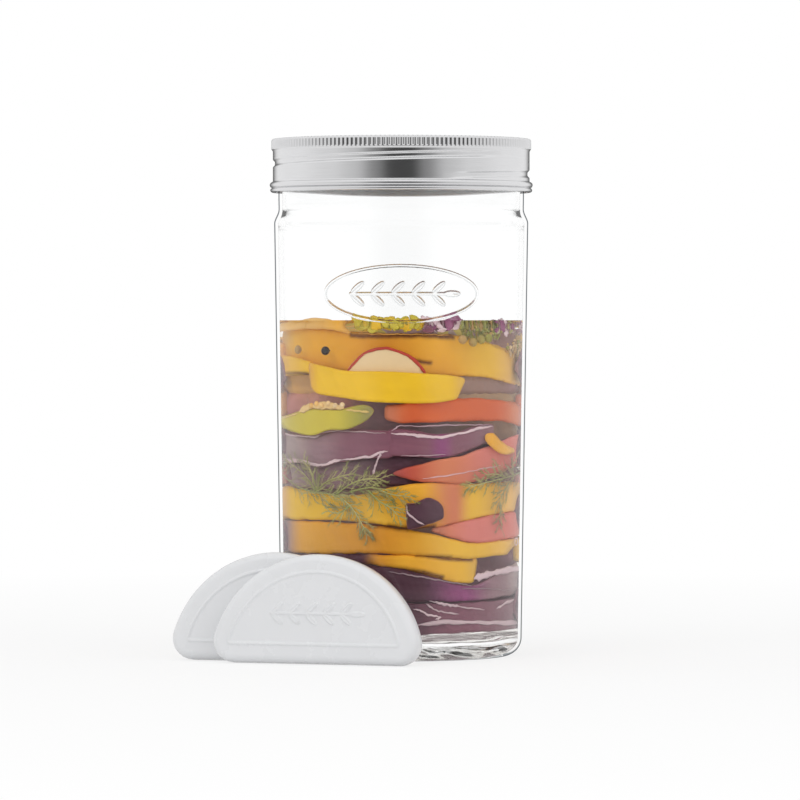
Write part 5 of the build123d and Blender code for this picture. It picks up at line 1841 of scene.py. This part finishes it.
class JAR_OT_stage(Operator):
    """Set up the floor, the lights, the world and the camera"""

    bl_idname = "jar.stage"
    bl_label = "Stage"

    def execute(self, context):
        stage = settings("stage")
        self.floor(stage)
        for softbox in SOFTBOXES:
            self.lamp(*softbox)
        self.world(context, stage)
        camera = add_object("Camera", bpy.data.cameras.new("Camera"))
        camera.data.lens = stage.focal_length
        camera.data.sensor_width = SENSOR_WIDTH
        camera.data.clip_end = 100.0
        camera.location = (stage.camera_side, -stage.camera_distance, stage.camera_height)
        camera.rotation_euler = (pi / 2 - stage.camera_tilt, 0, 0)
        context.scene.camera = camera
        context.scene.view_settings.view_transform = "Standard"
        return {"FINISHED"}

    def floor(self, stage):
        """Round pale floor that keeps the shadow."""
        rings = [stage.floor_radius * share for share in (0.004, 0.02, 0.1, 0.4, 1.0)]
        sides = 64
        angles = np.linspace(0, FULL_TURN, sides, endpoint=False)
        vertices = [(0, 0, 0)] + [(r * cos(a), r * sin(a), 0) for r in rings for a in angles]
        faces = [(0, 1 + i, 1 + (i + 1) % sides) for i in range(sides)]
        faces += [tuple(reversed(face)) for face in grid_faces(len(rings), sides, start=1)]
        floor = add_object("floor", build_mesh("floor", vertices, faces))
        floor.data.materials.append(self.paper(stage))

    def paper(self, stage):
        """Pale paper, lit by the lamps near the jar and glowing like the walls farther off."""
        material, tree, surface = new_tree("Pale floor")
        values = {"Colour": opaque(stage.floor_colour), "Size": 3.0, "Layering": 1.0, "Amount": 0.01}
        tint = use_group(tree, "Mottling", values)["Colour"]
        lit = add_node(tree, "BsdfDiffuse", {"Color": tint}).outputs[0]
        light = add_node(tree, "LightPath").outputs
        place = add_node(tree, "TexCoord").outputs["Object"]
        away = add_node(tree, "VectorMath", {0: place}, operation="LENGTH").outputs["Value"]
        studio = use_group(tree, "Studio walls", {"Direction": place})
        walls = mix(tree, light["Is Transmission Ray"], studio["Mirrored"], studio["Through"])
        mirrored = maths(tree, "GREATER_THAN", light["Glossy Depth"], 0.5)
        distant = mix(tree, maths(tree, "MULTIPLY", mirrored, rising(tree, away, 0.15, 0.4)), WHITE, walls)
        values = {"Color": distant, "Strength": self.strength(tree, light, stage)}
        glow = add_node(tree, "Emission", values).outputs[0]
        seen = maths(tree, "MAXIMUM", light["Is Glossy Ray"], light["Is Transmission Ray"])
        seen = maths(tree, "MAXIMUM", light["Is Camera Ray"], seen)
        share = maths(tree, "MULTIPLY", seen, rising(tree, away, 0.12, 0.7, start=0.75))
        tree.links.new(blended(tree, share, lit, glow), surface)
        return material

    def strength(self, tree, light, stage):
        """Strength of 1, raised a little for what is seen through glass."""
        lift = maths(tree, "MULTIPLY", light["Is Transmission Ray"], stage.behind_lift)
        return maths(tree, "ADD", lift, 1.0)

    def lamp(self, name, place, size, power):
        """Square softbox that points at the jar."""
        data = bpy.data.lights.new(name, "AREA")
        data.size = size
        data.energy = power
        lamp = add_object(name, data)
        lamp.location = place
        lamp.visible_glossy = False
        lamp.visible_transmission = False
        direction = lamp.location.copy()
        direction.z -= AIM_HEIGHT
        lamp.rotation_euler = direction.to_track_quat("Z", "Y").to_euler()

    def world(self, context, stage):
        """White behind the jar, and a studio with a dark front and back in what is glossy."""
        world = bpy.data.worlds.new("Studio")
        context.scene.world = world
        world.use_nodes = True
        tree = world.node_tree
        tree.nodes.clear()
        output = add_node(tree, "OutputWorld")
        heading = add_node(tree, "TexCoord").outputs["Generated"]
        studio = use_group(tree, "Studio walls", {"Direction": heading})
        light = add_node(tree, "LightPath").outputs
        mirrored = maths(tree, "GREATER_THAN", light["Glossy Depth"], 0.5)
        through = mix(tree, mirrored, WHITE, studio["Through"])
        shade = mix(tree, light["Is Glossy Ray"], grey(stage.ambient), studio["Mirrored"])
        shade = mix(tree, light["Is Transmission Ray"], shade, through)
        shade = mix(tree, light["Is Camera Ray"], shade, WHITE)
        values = {"Color": shade, "Strength": self.strength(tree, light, stage)}
        sky = add_node(tree, "Background", values).outputs[0]
        tree.links.new(sky, output.inputs["Surface"])


class JAR_PT_panel(Panel):
    """Buttons and settings for the jar"""

    bl_label = "Fermentation jar"
    bl_space_type = "VIEW_3D"
    bl_region_type = "UI"
    bl_category = "Ferment jar"

    def draw(self, context):
        for operator in OPERATORS:
            self.layout.operator(operator.bl_idname)
        for name in GROUPS:
            box = self.layout.box()
            box.label(text=name.capitalize())
            group = settings(name)
            for prop in group.bl_rna.properties:
                if not prop.is_readonly and prop.identifier != "name":
                    box.prop(group, prop.identifier)


GROUPS = {
    "jar": JarSettings,
    "ornament": OrnamentSettings,
    "band": BandSettings,
    "lid": LidSettings,
    "weights": WeightSettings,
    "vegetables": VegetableSettings,
    "stage": StageSettings,
}

OPERATORS = (
    JAR_OT_stage, JAR_OT_glass, JAR_OT_brine, JAR_OT_band, JAR_OT_lid, JAR_OT_weights, JAR_OT_middle,
    JAR_OT_peppers, JAR_OT_cabbage, JAR_OT_slices, JAR_OT_seeds, JAR_OT_tops, JAR_OT_dill,
)


def register():
    """Register the settings, the operators and the panel."""
    for name, group in GROUPS.items():
        bpy.utils.register_class(group)
        setattr(bpy.types.Scene, f"jar_{name}", PointerProperty(type=group))
    for item in (*OPERATORS, JAR_PT_panel):
        bpy.utils.register_class(item)


def unregister():
    """Take them out again."""
    for item in reversed((*OPERATORS, JAR_PT_panel)):
        bpy.utils.unregister_class(item)
    for name, group in reversed(GROUPS.items()):
        delattr(bpy.types.Scene, f"jar_{name}")
        bpy.utils.unregister_class(group)


def main():
    """Build everything."""
    register()
    for operator in OPERATORS:
        group, name = operator.bl_idname.split(".")
        getattr(getattr(bpy.ops, group), name)()


if __name__ == "__main__":
    main()
